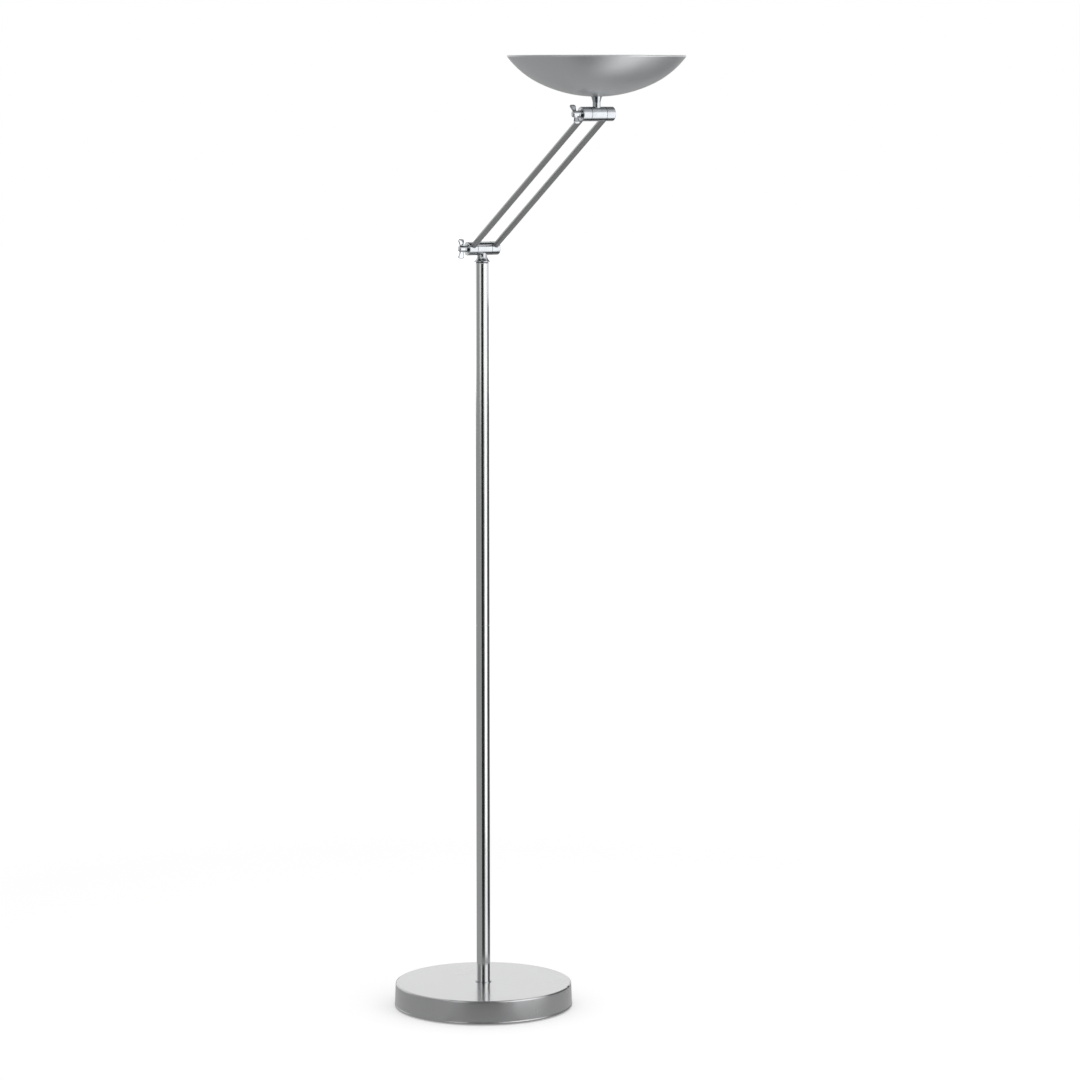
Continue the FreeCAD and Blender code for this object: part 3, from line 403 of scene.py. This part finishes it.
ANYWHERE = (0.0, 0.0, 0.0)
FLAKE = Effect("metal_flake", {"Where": ANYWHERE, "Paint": WHITE, "Grain": 2500.0, "Sparkle": 0.1},
               ("Colour",), wire_flake)
PEEL = Effect("lacquer_peel", {"Where": ANYWHERE, "Ripple": 400.0, "Depth": 1e-5}, ("Height",), wire_peel)
HANDLED = Effect("handled_gloss", {"Where": ANYWHERE, "Spread": 12.0, "Marks": 0.05, "Base": 0.2},
                 ("Roughness",), wire_handled)
RINGS = Effect("turned_rings", {"Where": ANYWHERE, "Pitch": 0.0004, "Depth": 1e-5}, ("Height", "Shade"),
               wire_rings)
GRAIN = Effect("brushed_grain", {"Where": ANYWHERE, "Depth": 1e-5}, ("Height", "Shade"), wire_grain)
DUST = Effect("thin_dust", {"Where": ANYWHERE, "Amount": 0.1}, ("Mask",), wire_dust)


# ------------------------------------------------------------------ finishes
class Finish(ABC):
    """How a surface looks, as one material."""

    @abstractmethod
    def paint(self, bench: Bench, shader: bpy.types.Node) -> Socket | None:
        """Feeds the shader.

        Args:
            bench: Of the material.
            shader: Its Principled BSDF.

        Returns:
            The height of the surface's fine relief in metres, or None where it is smooth.
        """

    def handle(self, bench: Bench, shader: bpy.types.Node, where: Socket, base: object, marks: float,
               spread: float) -> None:
        """Feeds the shader's roughness, a base level raised by traces of handling.

        Args:
            bench: Of the material.
            shader: Its Principled BSDF.
            where: Place on the piece.
            base: Roughness where nothing has touched it.
            marks: How far the traces raise it.
            spread: Scale of the soft patches.
        """
        handled = HANDLED.on(bench, Where=where, Base=base, Marks=marks, Spread=spread)
        bench.feed(shader.inputs["Roughness"], handled["Roughness"])

    def material(self, name: str) -> bpy.types.Material:
        """The finish as a material of this name, its relief joined through one Bump node."""
        material = bpy.data.materials.new(name)
        material.use_nodes = True
        bench = Bench(material.node_tree)
        shader = material.node_tree.nodes["Principled BSDF"]
        height = self.paint(bench, shader)
        if height is not None:
            bump = bench.node("Bump", {"Strength": 1.0, "Distance": 1.0, "Height": height})
            bench.feed(shader.inputs["Normal"], bump.outputs[0])
        return material


@dataclass(frozen=True)
class Lacquer(Finish):
    """Grey metal-flake lacquer under a clear coat, on steel."""

    colour: Colour
    metallic: float
    roughness: float
    coat: float
    coat_roughness: float = 0.04
    sparkle: float = 0.08
    ripple: float = 450.0
    peel: float = 0.004 * MM
    marks: float = 0.05
    dust: float = 0.0

    def paint(self, bench: Bench, shader: bpy.types.Node) -> Socket | None:
        """Flake in the colour, handling in the roughness, orange peel in the relief."""
        where = bench.place()
        colour = FLAKE.on(bench, Where=where, Paint=self.colour, Sparkle=self.sparkle)["Colour"]
        if self.dust:
            mask = DUST.on(bench, Where=where, Amount=self.dust)["Mask"]
            colour = bench.mix(mask, colour, grey(0.62, 0.03))
        bench.feed(shader.inputs["Base Color"], colour)
        bench.feed(shader.inputs["Metallic"], self.metallic)
        self.handle(bench, shader, where, self.roughness, self.marks, 12.0)
        bench.feed(shader.inputs["Coat Weight"], self.coat)
        bench.feed(shader.inputs["Coat Roughness"], self.coat_roughness)
        return PEEL.on(bench, Where=where, Ripple=self.ripple, Depth=self.peel)["Height"]


@dataclass(frozen=True)
class Plated(Finish):
    """Bright plating on a polished casting or a turned part."""

    colour: Colour
    roughness: float
    marks: float = 0.08
    wave: float = 0.01 * MM
    ripple: float = 90.0

    def paint(self, bench: Bench, shader: bpy.types.Node) -> Socket | None:
        """Slight tone in the plating, wiped patches, and the low waves that polishing leaves."""
        where = bench.place()
        tone = bench.span(bench.noise(where, 60), 0.35, 0.65, 0, 1)
        darker = tuple(0.9 * c for c in self.colour)
        bench.feed(shader.inputs["Base Color"], bench.mix(tone, darker, self.colour))
        bench.feed(shader.inputs["Metallic"], 1.0)
        self.handle(bench, shader, where, self.roughness, self.marks, 70.0)
        return PEEL.on(bench, Where=where, Ripple=self.ripple, Depth=self.wave)["Height"]


@dataclass(frozen=True)
class TurnedMetal(Finish):
    """Metal with the rings of its turning, spinning or drawing left on it."""

    colour: Colour
    roughness: float
    pitch: float = 0.4 * MM
    depth: float = 0.01 * MM
    centre: Point = (0.0, 0.0, 0.0)
    turn: Point = (0.0, 0.0, 0.0)
    dust: float = 0.0

    def paint(self, bench: Bench, shader: bpy.types.Node) -> Socket | None:
        """Rings about the piece's own axis, in the relief, the roughness and the colour."""
        where = bench.place(self.centre, self.turn)
        rings = RINGS.on(bench, Where=where, Pitch=self.pitch, Depth=self.depth)
        darker = tuple(0.78 * c for c in self.colour)
        colour = bench.mix(bench.spread(rings["Shade"], 0, 1), darker, self.colour)
        if self.dust:
            mask = DUST.on(bench, Where=where, Amount=self.dust)["Mask"]
            colour = bench.mix(mask, colour, grey(0.6, 0.03))
        bench.feed(shader.inputs["Base Color"], colour)
        bench.feed(shader.inputs["Metallic"], 1.0)
        base = bench.spread(rings["Shade"], self.roughness - 0.05, self.roughness + 0.05)
        self.handle(bench, shader, where, base, 0.06, 30.0)
        return rings["Height"]


@dataclass(frozen=True)
class SheetMetal(Finish):
    """Rolled or bent sheet and strip, with its brushed grain."""

    colour: Colour
    roughness: float
    turn: Point = (0.0, 0.0, 0.0)
    depth: float = 0.008 * MM

    def paint(self, bench: Bench, shader: bpy.types.Node) -> Socket | None:
        """Grain in colour, roughness and relief."""
        where = bench.place(turn=self.turn)
        grain = GRAIN.on(bench, Where=where, Depth=self.depth)
        darker = tuple(0.8 * c for c in self.colour)
        shade = bench.spread(grain["Shade"], 0, 1)
        bench.feed(shader.inputs["Base Color"], bench.mix(shade, darker, self.colour))
        bench.feed(shader.inputs["Metallic"], 1.0)
        bench.feed(shader.inputs["Roughness"], bench.spread(grain["Shade"], self.roughness - 0.06,
                                                            self.roughness + 0.08))
        return grain["Height"]


@dataclass(frozen=True)
class Casting(Finish):
    """Grey iron as it comes from the sand, brushed over with primer."""

    colour: Colour = grey(0.07)
    grit: float = 700.0
    depth: float = 0.12 * MM

    def paint(self, bench: Bench, shader: bpy.types.Node) -> Socket | None:
        """Sand grain in the relief, darker pits and a trace of rust in the colour."""
        where = bench.place()
        sand = bench.noise(where, self.grit, 4)
        pits = bench.span(sand, 0.35, 0.6, 0, 1)
        rust = bench.span(bench.noise(where, 25, 4), 0.62, 0.72, 0, 0.35)
        iron = bench.mix(pits, tuple(0.5 * c for c in self.colour), self.colour)
        bench.feed(shader.inputs["Base Color"], bench.mix(rust, iron, (0.12, 0.05, 0.025)))
        bench.feed(shader.inputs["Metallic"], 0.3)
        bench.feed(shader.inputs["Roughness"], bench.spread(sand, 0.75, 0.55))
        return bench.sum("MULTIPLY", sand, self.depth)


@dataclass(frozen=True)
class Moulded(Finish):
    """Moulded plastic, rubber, fibre or fired ceramic."""

    colour: Colour
    roughness: float
    grit: float = 1500.0
    depth: float = 0.01 * MM
    mottle: float = 0.1
    marks: float = 0.08

    def paint(self, bench: Bench, shader: bpy.types.Node) -> Socket | None:
        """A mottled colour, a fine pitted skin and a little handling."""
        where = bench.place()
        broad = bench.spread(bench.noise(where, 180, 3), 0, 1)
        darker = tuple((1 - self.mottle) * c for c in self.colour)
        bench.feed(shader.inputs["Base Color"], bench.mix(broad, darker, self.colour))
        self.handle(bench, shader, where, self.roughness, self.marks, 90.0)
        return bench.sum("MULTIPLY", bench.noise(where, self.grit, 3), self.depth)


@dataclass(frozen=True)
class Felt(Finish):
    """Pressed wool felt, its fibres lying every way."""

    colour: Colour = grey(0.035)

    def paint(self, bench: Bench, shader: bpy.types.Node) -> Socket | None:
        """Two layers of drawn-out noise for fibres, and lint in the colour."""
        first = bench.noise(bench.place(turn=(0, 0, 35), scale=(300, 2200, 900)), 1, 3)
        second = bench.noise(bench.place(turn=(0, 0, -50), scale=(2200, 300, 900)), 1, 3)
        fibres = bench.sum("MAXIMUM", first, second)
        lint = bench.span(fibres, 0.45, 0.75, 0, 1)
        bench.feed(shader.inputs["Base Color"], bench.mix(lint, tuple(0.5 * c for c in self.colour),
                                                          tuple(1.9 * c for c in self.colour)))
        bench.feed(shader.inputs["Roughness"], 0.95)
        bench.feed(shader.inputs["Sheen Weight"], 0.4)
        bench.feed(shader.inputs["Sheen Roughness"], 0.5)
        return bench.sum("MULTIPLY", fibres, 0.25 * MM)


@dataclass(frozen=True)
class Clear(Finish):
    """Clear glass or quartz."""

    tint: Colour
    index: float
    marks: float = 0.03

    def paint(self, bench: Bench, shader: bpy.types.Node) -> Socket | None:
        """A faint tint that varies, wiped streaks in the gloss, and drawing waves in the surface."""
        where = bench.place()
        tone = bench.spread(bench.noise(where, 35), 0, 1)
        bench.feed(shader.inputs["Base Color"], bench.mix(tone, self.tint, (0.98, 0.99, 0.985)))
        self.handle(bench, shader, where, 0.01, self.marks, 25.0)
        bench.feed(shader.inputs["Transmission Weight"], 1.0)
        bench.feed(shader.inputs["IOR"], self.index)
        return PEEL.on(bench, Where=where, Ripple=60.0, Depth=0.003 * MM)["Height"]


def middle_of(node: str) -> Point:
    """The middle of a frame node's box."""
    low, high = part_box(node)
    return tuple((low + high) / 2)


FINISHES: dict[str, Finish] = {
    "base_lacquer": Lacquer(grey(0.46, -0.01), 0.86, 0.24, 1.0, coat_roughness=0.07, dust=0.03),
    "pole_lacquer": Lacquer(grey(0.59, -0.01), 1.0, 0.1, 0.3),
    "rod_lacquer": Lacquer(grey(0.36, -0.01), 0.85, 0.34, 0.2, coat_roughness=0.2),
    "bowl_lacquer": Lacquer(grey(0.54, -0.02), 0.8, 0.42, 0.5, coat_roughness=0.3),
    "nickel": Plated(grey(0.5, -0.04), 0.13),
    "clamp_chrome": Plated(grey(0.56, -0.03), 0.08),
    "weight_iron": Casting(),
    "zinc_steel": TurnedMetal(grey(0.55, -0.01), 0.3),
    "glass_clip_steel": SheetMetal(grey(0.6), 0.28, turn=(0, 90, 0)),
    "filament_tungsten": TurnedMetal(grey(0.4, 0.03), 0.35, pitch=0.05 * MM, depth=0.002 * MM),
    "stud_brass": TurnedMetal((0.72, 0.5, 0.2), 0.22),
    "pad_felt": Felt(),
    "grommet_rubber": Moulded(grey(0.03), 0.6, depth=0.02 * MM),
    "block_plastic": Moulded(grey(0.75, 0.02), 0.4),
    "lead_sheath": Moulded(grey(0.05), 0.45),
    "bearing_nylon": Moulded(grey(0.7, 0.04), 0.35),
    "friction_fibre": Moulded((0.06, 0.035, 0.025), 0.8, grit=900, depth=0.04 * MM, mottle=0.4),
    "reflector_aluminium": TurnedMetal(grey(0.8), 0.24, pitch=0.9 * MM, depth=0.02 * MM,
                                       centre=middle_of("reflector"), dust=0.06),
    "holder_ceramic": Moulded(grey(0.8, 0.03), 0.32, grit=500, depth=0.03 * MM, mottle=0.06),
    "lamp_quartz": Clear((0.95, 0.96, 0.97), 1.46, marks=0.01),
    "cover_glass": Clear((0.86, 0.96, 0.92), 1.5),
}
MATERIALS = {slot: finish.material(slot) for slot, finish in FINISHES.items()}


def dress_frame() -> None:
    """Gives every frame node the material of its own slot."""
    for name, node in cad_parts.items():
        slots = node.material_slots
        slot = slots[0].material.name.split(".")[0]
        slots[0].material = MATERIALS[slot]
        log.info("%s: frame node, in %s", name, slot)


# ------------------------------------------------------------------ studio
@dataclass(frozen=True)
class Panel:
    """A flat upright thing of the studio, placed round the object from the camera's side."""

    name: str
    bearing: float
    distance: float
    height: float
    width: float
    tall: float
    radiance: float

    def place(self, camera_bearing: float, aim: Point) -> Matrix:
        """Where the panel stands.

        Args:
            camera_bearing: Of the camera from the object, in degrees from +X towards +Y.
            aim: The point that the panel faces.

        Returns:
            Its place, at its bearing to the right of the camera, with its -Z towards aim.
        """
        angle = math.radians(camera_bearing + self.bearing)
        spot = Vector((self.distance * math.cos(angle), self.distance * math.sin(angle), self.height))
        return Matrix.Translation(spot) @ (Vector(aim) - spot).to_track_quat("-Z", "Y").to_matrix().to_4x4()


class Softbox(Panel):
    """A soft lamp that lights the object and isn't seen itself."""

    def hang(self, camera_bearing: float, aim: Point) -> None:
        """Sets the lamp up; see place() for the arguments."""
        light = bpy.data.lights.new(self.name, "AREA")
        light.shape = "RECTANGLE"
        light.size, light.size_y = self.width, self.tall
        light.energy = self.radiance * math.pi * self.width * self.tall
        lamp = bpy.data.objects.new(self.name, light)
        lamp.matrix_world = self.place(camera_bearing, aim)
        lamp.visible_camera = lamp.visible_glossy = False
        bpy.context.scene.collection.objects.link(lamp)


class Card(Panel):
    """A bright or dark card that shows only in reflections."""

    def hang(self, camera_bearing: float, aim: Point) -> None:
        """Sets the card up; see place() for the arguments."""
        corners = self.outline()
        mesh = bpy.data.meshes.new(self.name)
        mesh.from_pydata(corners, [], [tuple(range(len(corners)))])
        card = bpy.data.objects.new(self.name, mesh)
        card.matrix_world = self.place(camera_bearing, aim)
        card.visible_camera = card.visible_diffuse = card.visible_shadow = card.visible_transmission = False
        bpy.context.scene.collection.objects.link(card)
        material = bpy.data.materials.new(self.name)
        material.use_nodes = True
        shader = material.node_tree.nodes["Principled BSDF"]
        shader.inputs["Base Color"].default_value = (0, 0, 0, 1)
        shader.inputs["Specular IOR Level"].default_value = 0.0
        shader.inputs["Emission Color"].default_value = WHITE
        shader.inputs["Emission Strength"].default_value = self.radiance
        mesh.materials.append(material)

    def outline(self) -> list[Point]:
        """Corners of the card in its own plane."""
        x, y = self.width / 2, self.tall / 2
        return [(-x, -y, 0), (x, -y, 0), (x, y, 0), (-x, y, 0)]


@dataclass(frozen=True)
class FloorCard(Card):
    """A flat card just above the floor, a sector of a ring about the object, seen only in reflections.

    Its bearing is the sector's middle and its width the sector's angle, both in degrees; its distance
    and tall are the sector's inner and outer radii.
    """

    def place(self, camera_bearing: float, aim: Point) -> Matrix:
        """Flat on its height, its middle turned to its bearing."""
        turn = Matrix.Rotation(math.radians(camera_bearing + self.bearing), 4, "Z")
        return Matrix.Translation((0, 0, self.height)) @ turn

    def outline(self) -> list[Point]:
        """Points round the outer arc and back along the inner one."""
        half = math.radians(self.width / 2)
        angles = np.linspace(-half, half, max(2, round(self.width / 5)))
        outer = [(self.tall * math.cos(a), self.tall * math.sin(a), 0.0) for a in angles]
        inner = [(self.distance * math.cos(a), self.distance * math.sin(a), 0.0) for a in angles[::-1]]
        return outer + inner


@dataclass(frozen=True)
class Studio:
    """Camera, pale floor, white surround, soft lamps, and the cards that the bright metal mirrors."""

    camera_place: Point = (-3.522, -6.361, 1.726)
    camera_turn: Point = (83.28, 0.0, -29.8)
    lens: float = 133.19
    sensor: float = 36.0
    sight: float = 200.0
    floor_half: float = 30.0
    floor_lift: tuple[float, float] = (0.3, 0.55)
    lift_reach: tuple[float, float] = (1.5, 6.0)
    surround: float = 0.75
    aim: Point = (0.0, -0.1, 0.95)
    panels: tuple[Panel, ...] = (
        Softbox("key_softbox", 50, 2.6, 1.6, 1.4, 1.8, 0.9),
        Softbox("top_softbox", 0, 0.3, 3.6, 2.4, 2.4, 0.6),
        Card("window_card", 55, 1.5, 1.0, 1.1, 2.2, 1.9),
        Card("front_card", 0, 1.1, 0.8, 0.8, 1.9, 0.03),
        Card("side_card", 112, 0.9, 0.55, 0.8, 1.5, 0.08),
        Card("left_card", -78, 2.8, 1.3, 3.6, 2.6, 0.42),
        Card("ceiling_card", 0, 0.05, 3.2, 2.4, 2.4, 0.05),
        FloorCard("floor_card", 0, 0.0, 0.0010, 360, 14.0, 0.45),
        FloorCard("near_floor_card", 0, 0.17, 0.0014, 60, 0.42, 0.36),
        FloorCard("front_floor_card", 0, 0.42, 0.0014, 42, 1.15, 0.06),
        FloorCard("window_floor_card", 55, 0.42, 0.0014, 42, 1.5, 1.4),
        FloorCard("side_floor_card", 112, 0.42, 0.0014, 42, 0.9, 0.12),
    )

    def build(self) -> None:
        """Sets up the camera, the floor, the surround, the lamps and the cards."""
        self.stand_camera()
        self.lay_floor()
        self.paint_surround()
        bearing = math.degrees(math.atan2(self.camera_place[1], self.camera_place[0]))
        for panel in self.panels:
            panel.hang(bearing, self.aim)
        bpy.context.scene.view_settings.view_transform = "Standard"

    def stand_camera(self) -> None:
        """The camera where the photograph's stood; its frame is square, so its sensor is too."""
        data = bpy.data.cameras.new("photo_camera")
        data.lens = self.lens
        data.sensor_width = self.sensor
        data.clip_end = self.sight
        camera = bpy.data.objects.new("photo_camera", data)
        camera.location = self.camera_place
        camera.rotation_euler = tuple(math.radians(a) for a in self.camera_turn)
        bpy.context.scene.collection.objects.link(camera)
        bpy.context.scene.camera = camera

    def lay_floor(self) -> None:
        """A pale floor: matt paint that takes the shadow, lifted to white where rays look at it."""
        half = self.floor_half
        mesh = bpy.data.meshes.new("floor")
        corners = [(-half, -half, 0), (half, -half, 0), (half, half, 0), (-half, half, 0)]
        mesh.from_pydata(corners, [], [(0, 1, 2, 3)])
        floor = bpy.data.objects.new("floor", mesh)
        bpy.context.scene.collection.objects.link(floor)
        material = bpy.data.materials.new("floor_paint")
        material.use_nodes = True
        bench = Bench(material.node_tree)
        shader = material.node_tree.nodes["Principled BSDF"]
        bench.feed(shader.inputs["Base Color"], grey(0.85))
        bench.feed(shader.inputs["Roughness"], 0.9)
        bench.feed(shader.inputs["Specular IOR Level"], 0.0)
        bench.feed(shader.inputs["Emission Color"], WHITE)
        away = bench.node("VectorMath", {0: bench.place()}, operation="LENGTH").outputs["Value"]
        lift = bench.span(away, *self.lift_reach, *self.floor_lift)
        bench.feed(shader.inputs["Emission Strength"], bench.sum("MULTIPLY", self.looks(bench), lift))
        mesh.materials.append(material)

    def looks(self, bench: Bench) -> Socket:
        """1 for rays that look at a thing, straight, in a reflection or through glass, and 0 for light."""
        path = bench.node("LightPath").outputs
        seen = bench.sum("MAXIMUM", path["Is Camera Ray"], path["Is Glossy Ray"])
        return bench.sum("MAXIMUM", seen, path["Is Transmission Ray"])

    def paint_surround(self) -> None:
        """A white surround where rays look at it, and a plain even level where it lights."""
        world = bpy.data.worlds.new("surround")
        world.use_nodes = True
        bpy.context.scene.world = world
        bench = Bench(world.node_tree)
        background = world.node_tree.nodes["Background"]
        bench.feed(background.inputs["Color"], WHITE)
        bench.feed(background.inputs["Strength"], bench.span(self.looks(bench), 0, 1, self.surround, 1.0))


# ------------------------------------------------------------------ the lamp
@dataclass(frozen=True)
class FeltPad:
    """The pressed felt disc under the base, its cut edge soft and a little uneven."""

    node: str = "base_felt_pad"
    edge: float = 0.8 * MM
    flat_share: float = 0.6
    waver: float = 0.25 * MM
    waves: tuple[int, ...] = (23, 57, 131)
    sides: int = 360

    def build(self) -> None:
        """Turns the disc; its radius wavers by the mean of sines that go round it waves times."""
        low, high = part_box(self.node)
        radius, bottom, top = high[0], low[2], high[2]
        section = Section(0, bottom).to(radius * self.flat_share, bottom)
        section.arc((radius - self.edge, bottom + self.edge), self.edge, -90, 0, 5)
        section.arc((radius - self.edge, top - self.edge), self.edge, 0, 90, 5)
        shell = section.to(radius * self.flat_share, top).to(0, top).turned(self.sides)
        points = shell.points.copy()
        angle = np.arctan2(points[:, 1], points[:, 0])
        wave = sum(np.sin(n * angle + k) for k, n in enumerate(self.waves)) / len(self.waves)
        points[:, :2] *= (1 - self.waver * (1 + wave) / 2 / radius)[:, None]
        pad = as_piece("felt_pad", Shell(points, shell.quads), "stand", "pad_felt", (self.node,))


@dataclass(frozen=True)
class WingScrew:
    """A clamping screw, turned and cast in one: shank, stepped hub and two flared wings."""

    side: str
    turn: float
    shank: float = 4.0 * MM
    hub: float = 6.3 * MM
    waist: float = 5.6 * MM
    seat: float = 33.25 * MM
    end: float = 48.5 * MM
    tip: float = -27.0 * MM
    reach: float = 18.0 * MM
    rounding: float = 0.6 * MM
    step: float = 3.4 * MM
    face_rounding: float = 2.0 * MM
    face_rise: float = 2.2 * MM
    wing_start: float = 3.0 * MM
    wing_root: float = 4.0 * MM
    root_swell: float = 2.6 * MM
    growth: float = 10.0 * MM
    closing_from: float = 0.78
    closing_over: float = 0.22

    def core(self) -> Shell:
        """Shank and hub, turned, with the hub's edges rounded and its face slightly domed."""
        r, waist, hub = self.rounding, self.waist, self.hub
        step = self.seat + self.step
        section = Section(0, self.tip).to(self.shank - 1 * MM, self.tip).to(self.shank, self.tip + 1 * MM)
        section.to(self.shank, self.seat)
        section.arc((hub - r / 2, self.seat + r / 2), r / 2, -90, 0, 4)
        section.arc((hub - r, step - r), r, 0, 90, 6)
        section.arc((waist + r, step + r), r, 270, 180, 6)
        face = self.face_rounding
        section.arc((waist - face, self.end - self.face_rise), face, 0, 80, 10)
        return section.to(0, self.end).turned(96)

    def wing(self, steps: int = 40, sides: int = 32) -> Shell:
        """One wing, carried outwards from the hub.

        Args:
            steps: Stations from the hub to the tip.
            sides: Points round each station.

        Returns:
            Rounded oblong stations. Their width grows outwards and closes in a quarter ellipse at
            the tip; their thickness swells where the casting runs into the hub.
        """
        out = np.linspace(0, 1, steps) ** 0.85 * (self.reach - self.wing_start) + self.wing_start
        rest = np.clip((out - self.closing_from * self.reach) / (self.closing_over * self.reach), 0, 1)
        closing = np.sqrt(1 - rest ** 2)
        grown = np.clip((out - self.wing_root) / self.growth, 0, 1)
        half_width = (3.5 + 2.6 * grown ** 1.3) * MM * (0.35 + 0.65 * closing)
        half_width = half_width * np.where(closing > 0, 1, 0.01)
        root = np.exp(-((out - self.wing_root) / self.root_swell) ** 2)
        half_thick = (1.05 + 0.22 * grown + 1.2 * root) * MM * np.maximum(closing, 0.02)
        middle = (self.seat - 1.25 * MM) + (10.6 + 0.9 * grown) * MM
        v = np.linspace(0, 2 * math.pi, sides, endpoint=False)
        across = np.sign(np.cos(v)) * np.abs(np.cos(v)) ** 0.7
        thick = np.sign(np.sin(v)) * np.abs(np.sin(v)) ** 0.8
        grid = np.stack([np.broadcast_to(out[:, None], (steps, sides)), half_thick[:, None] * thick,
                         middle[:, None] + half_width[:, None] * across], axis=-1)
        return Shell.from_grid(grid)

    def build(self) -> None:
        """Joins core and wings, and lays the screw along the hinge with its wings turned."""
        wing = self.wing()
        other = wing.turned_to(((-1, 0, 0), (0, -1, 0), (0, 0, 1)))
        s, c = math.sin(math.radians(self.turn)), math.cos(math.radians(self.turn))
        screw = self.core().joined(wing, other).turned_to(((0, s, c), (0, c, -s), (-1, 0, 0)))
        node = f"{self.side}_wing_screw"
        washer = middle_of(f"{self.side}_clamp_washer")
        as_piece(f"{self.side}_wing_casting", screw.moved((0.0, washer[1], washer[2])), f"{self.side}_wing",
                 "clamp_chrome", (node,), sharp=50)


@dataclass(frozen=True)
class HalogenLamp:
    """The double-ended lamp: a quartz tube with drawn-in ends, round a coiled filament."""

    wall: float = 1.0 * MM
    drawn_in: float = 0.35
    shoulder: float = 1.6 * MM
    coil_wire: float = 0.11 * MM
    coil_turns: int = 90
    coil_share: float = 0.8
    leg_taper: float = 0.03
    steps_a_turn: int = 24

    def build(self) -> None:
        """Builds the tube and the filament where the frame has theirs."""
        self.draw_tube()
        self.wind_filament()

    def draw_tube(self) -> None:
        """A tube whose ends are drawn in over a rounded shoulder, its wall kept even."""
        low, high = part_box("lamp_envelope")
        half, outer = (high[0] - low[0]) / 2, (high[2] - low[2]) / 2
        inner, bend = outer - self.wall, self.shoulder
        neck = outer - self.drawn_in * self.wall
        section = Section(inner, -half).to(neck, -half)
        section.arc((outer - bend, -half + 2 * bend), bend, -60, 0, 7)
        section.arc((outer - bend, half - 2 * bend), bend, 0, 60, 7)
        tube = section.to(neck, half).to(inner, half).turned(72, ring=True)
        placed = tube.turned_to(ALONG_X).moved(middle_of("lamp_envelope"))
        as_piece("quartz_tube", placed, "head", "lamp_quartz", ("lamp_envelope",))

    def wind_filament(self) -> None:
        """A helix with straight legs: the radius falls to nothing over the last stretch of each end."""
        low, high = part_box("lamp_filament")
        half, radius = (high[0] - low[0]) / 2, (high[2] - low[2]) / 2 - self.coil_wire
        t = np.linspace(-1, 1, self.steps_a_turn * self.coil_turns)
        swell = np.clip((self.coil_share - np.abs(t)) / self.leg_taper, 0, 1)
        angle = math.pi * self.coil_turns * np.clip(t, -self.coil_share, self.coil_share)
        path = np.column_stack([half * t, radius * swell * np.cos(angle), radius * swell * np.sin(angle)])
        side = np.column_stack([np.zeros_like(t), np.cos(angle), np.sin(angle)])
        coil = carried(path, side, self.coil_wire, 8)
        as_piece("filament_coil", coil.moved(middle_of("lamp_filament")), "head", "filament_tungsten",
                 ("lamp_filament",), sharp=80, close=True)


@dataclass(frozen=True)
class CoverGlass:
    """The toughened sheet over the lamp, with rounded corners and ground edges."""

    node: str = "cover_glass"
    corner: float = 12.0 * MM
    arris: float = 0.6 * MM
    corner_steps: int = 20

    def ring(self, half: Vector, inset: float) -> np.ndarray:
        """Points (x, y) round the sheet, moved in from its edge by inset."""
        quarter = np.radians(np.linspace(0, 90, self.corner_steps))
        arc = np.column_stack([np.cos(quarter), np.sin(quarter)]) * (self.corner - inset)
        arc += np.array(half[:2]) - self.corner
        back = arc[::-1]
        return np.vstack([arc, back * (-1, 1), arc * (-1, -1), back * (1, -1)])

    def build(self) -> None:
        """Carries the edge's section round the sheet and closes both faces."""
        low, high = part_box(self.node)
        half = (high - low) / 2
        edge = [(a, -half[2] + self.arris - math.sqrt(max(self.arris ** 2 - (self.arris - a) ** 2, 0)))
                for a in np.linspace(self.arris, 0, 5)]
        section = edge + [(a, -z) for a, z in edge[::-1]]
        rings = [np.column_stack([self.ring(half, a), np.full(4 * self.corner_steps, z)]) for a, z in section]
        glass = Shell.from_grid(np.array(rings)).moved(middle_of(self.node))
        as_piece("ground_cover_glass", glass, "head", "cover_glass", (self.node,), sharp=25, close=True)


def main() -> None:
    """Dresses the frame, builds each sub-assembly in turn, and sets the studio."""
    logging.basicConfig(level=logging.INFO, format="%(name)s: %(message)s")
    dress_frame()
    for part in (FeltPad(), WingScrew("lower", 0.0), WingScrew("upper", 28.0), HalogenLamp(), CoverGlass()):
        part.build()
    Studio().build()


if __name__ == "__main__":
    main()
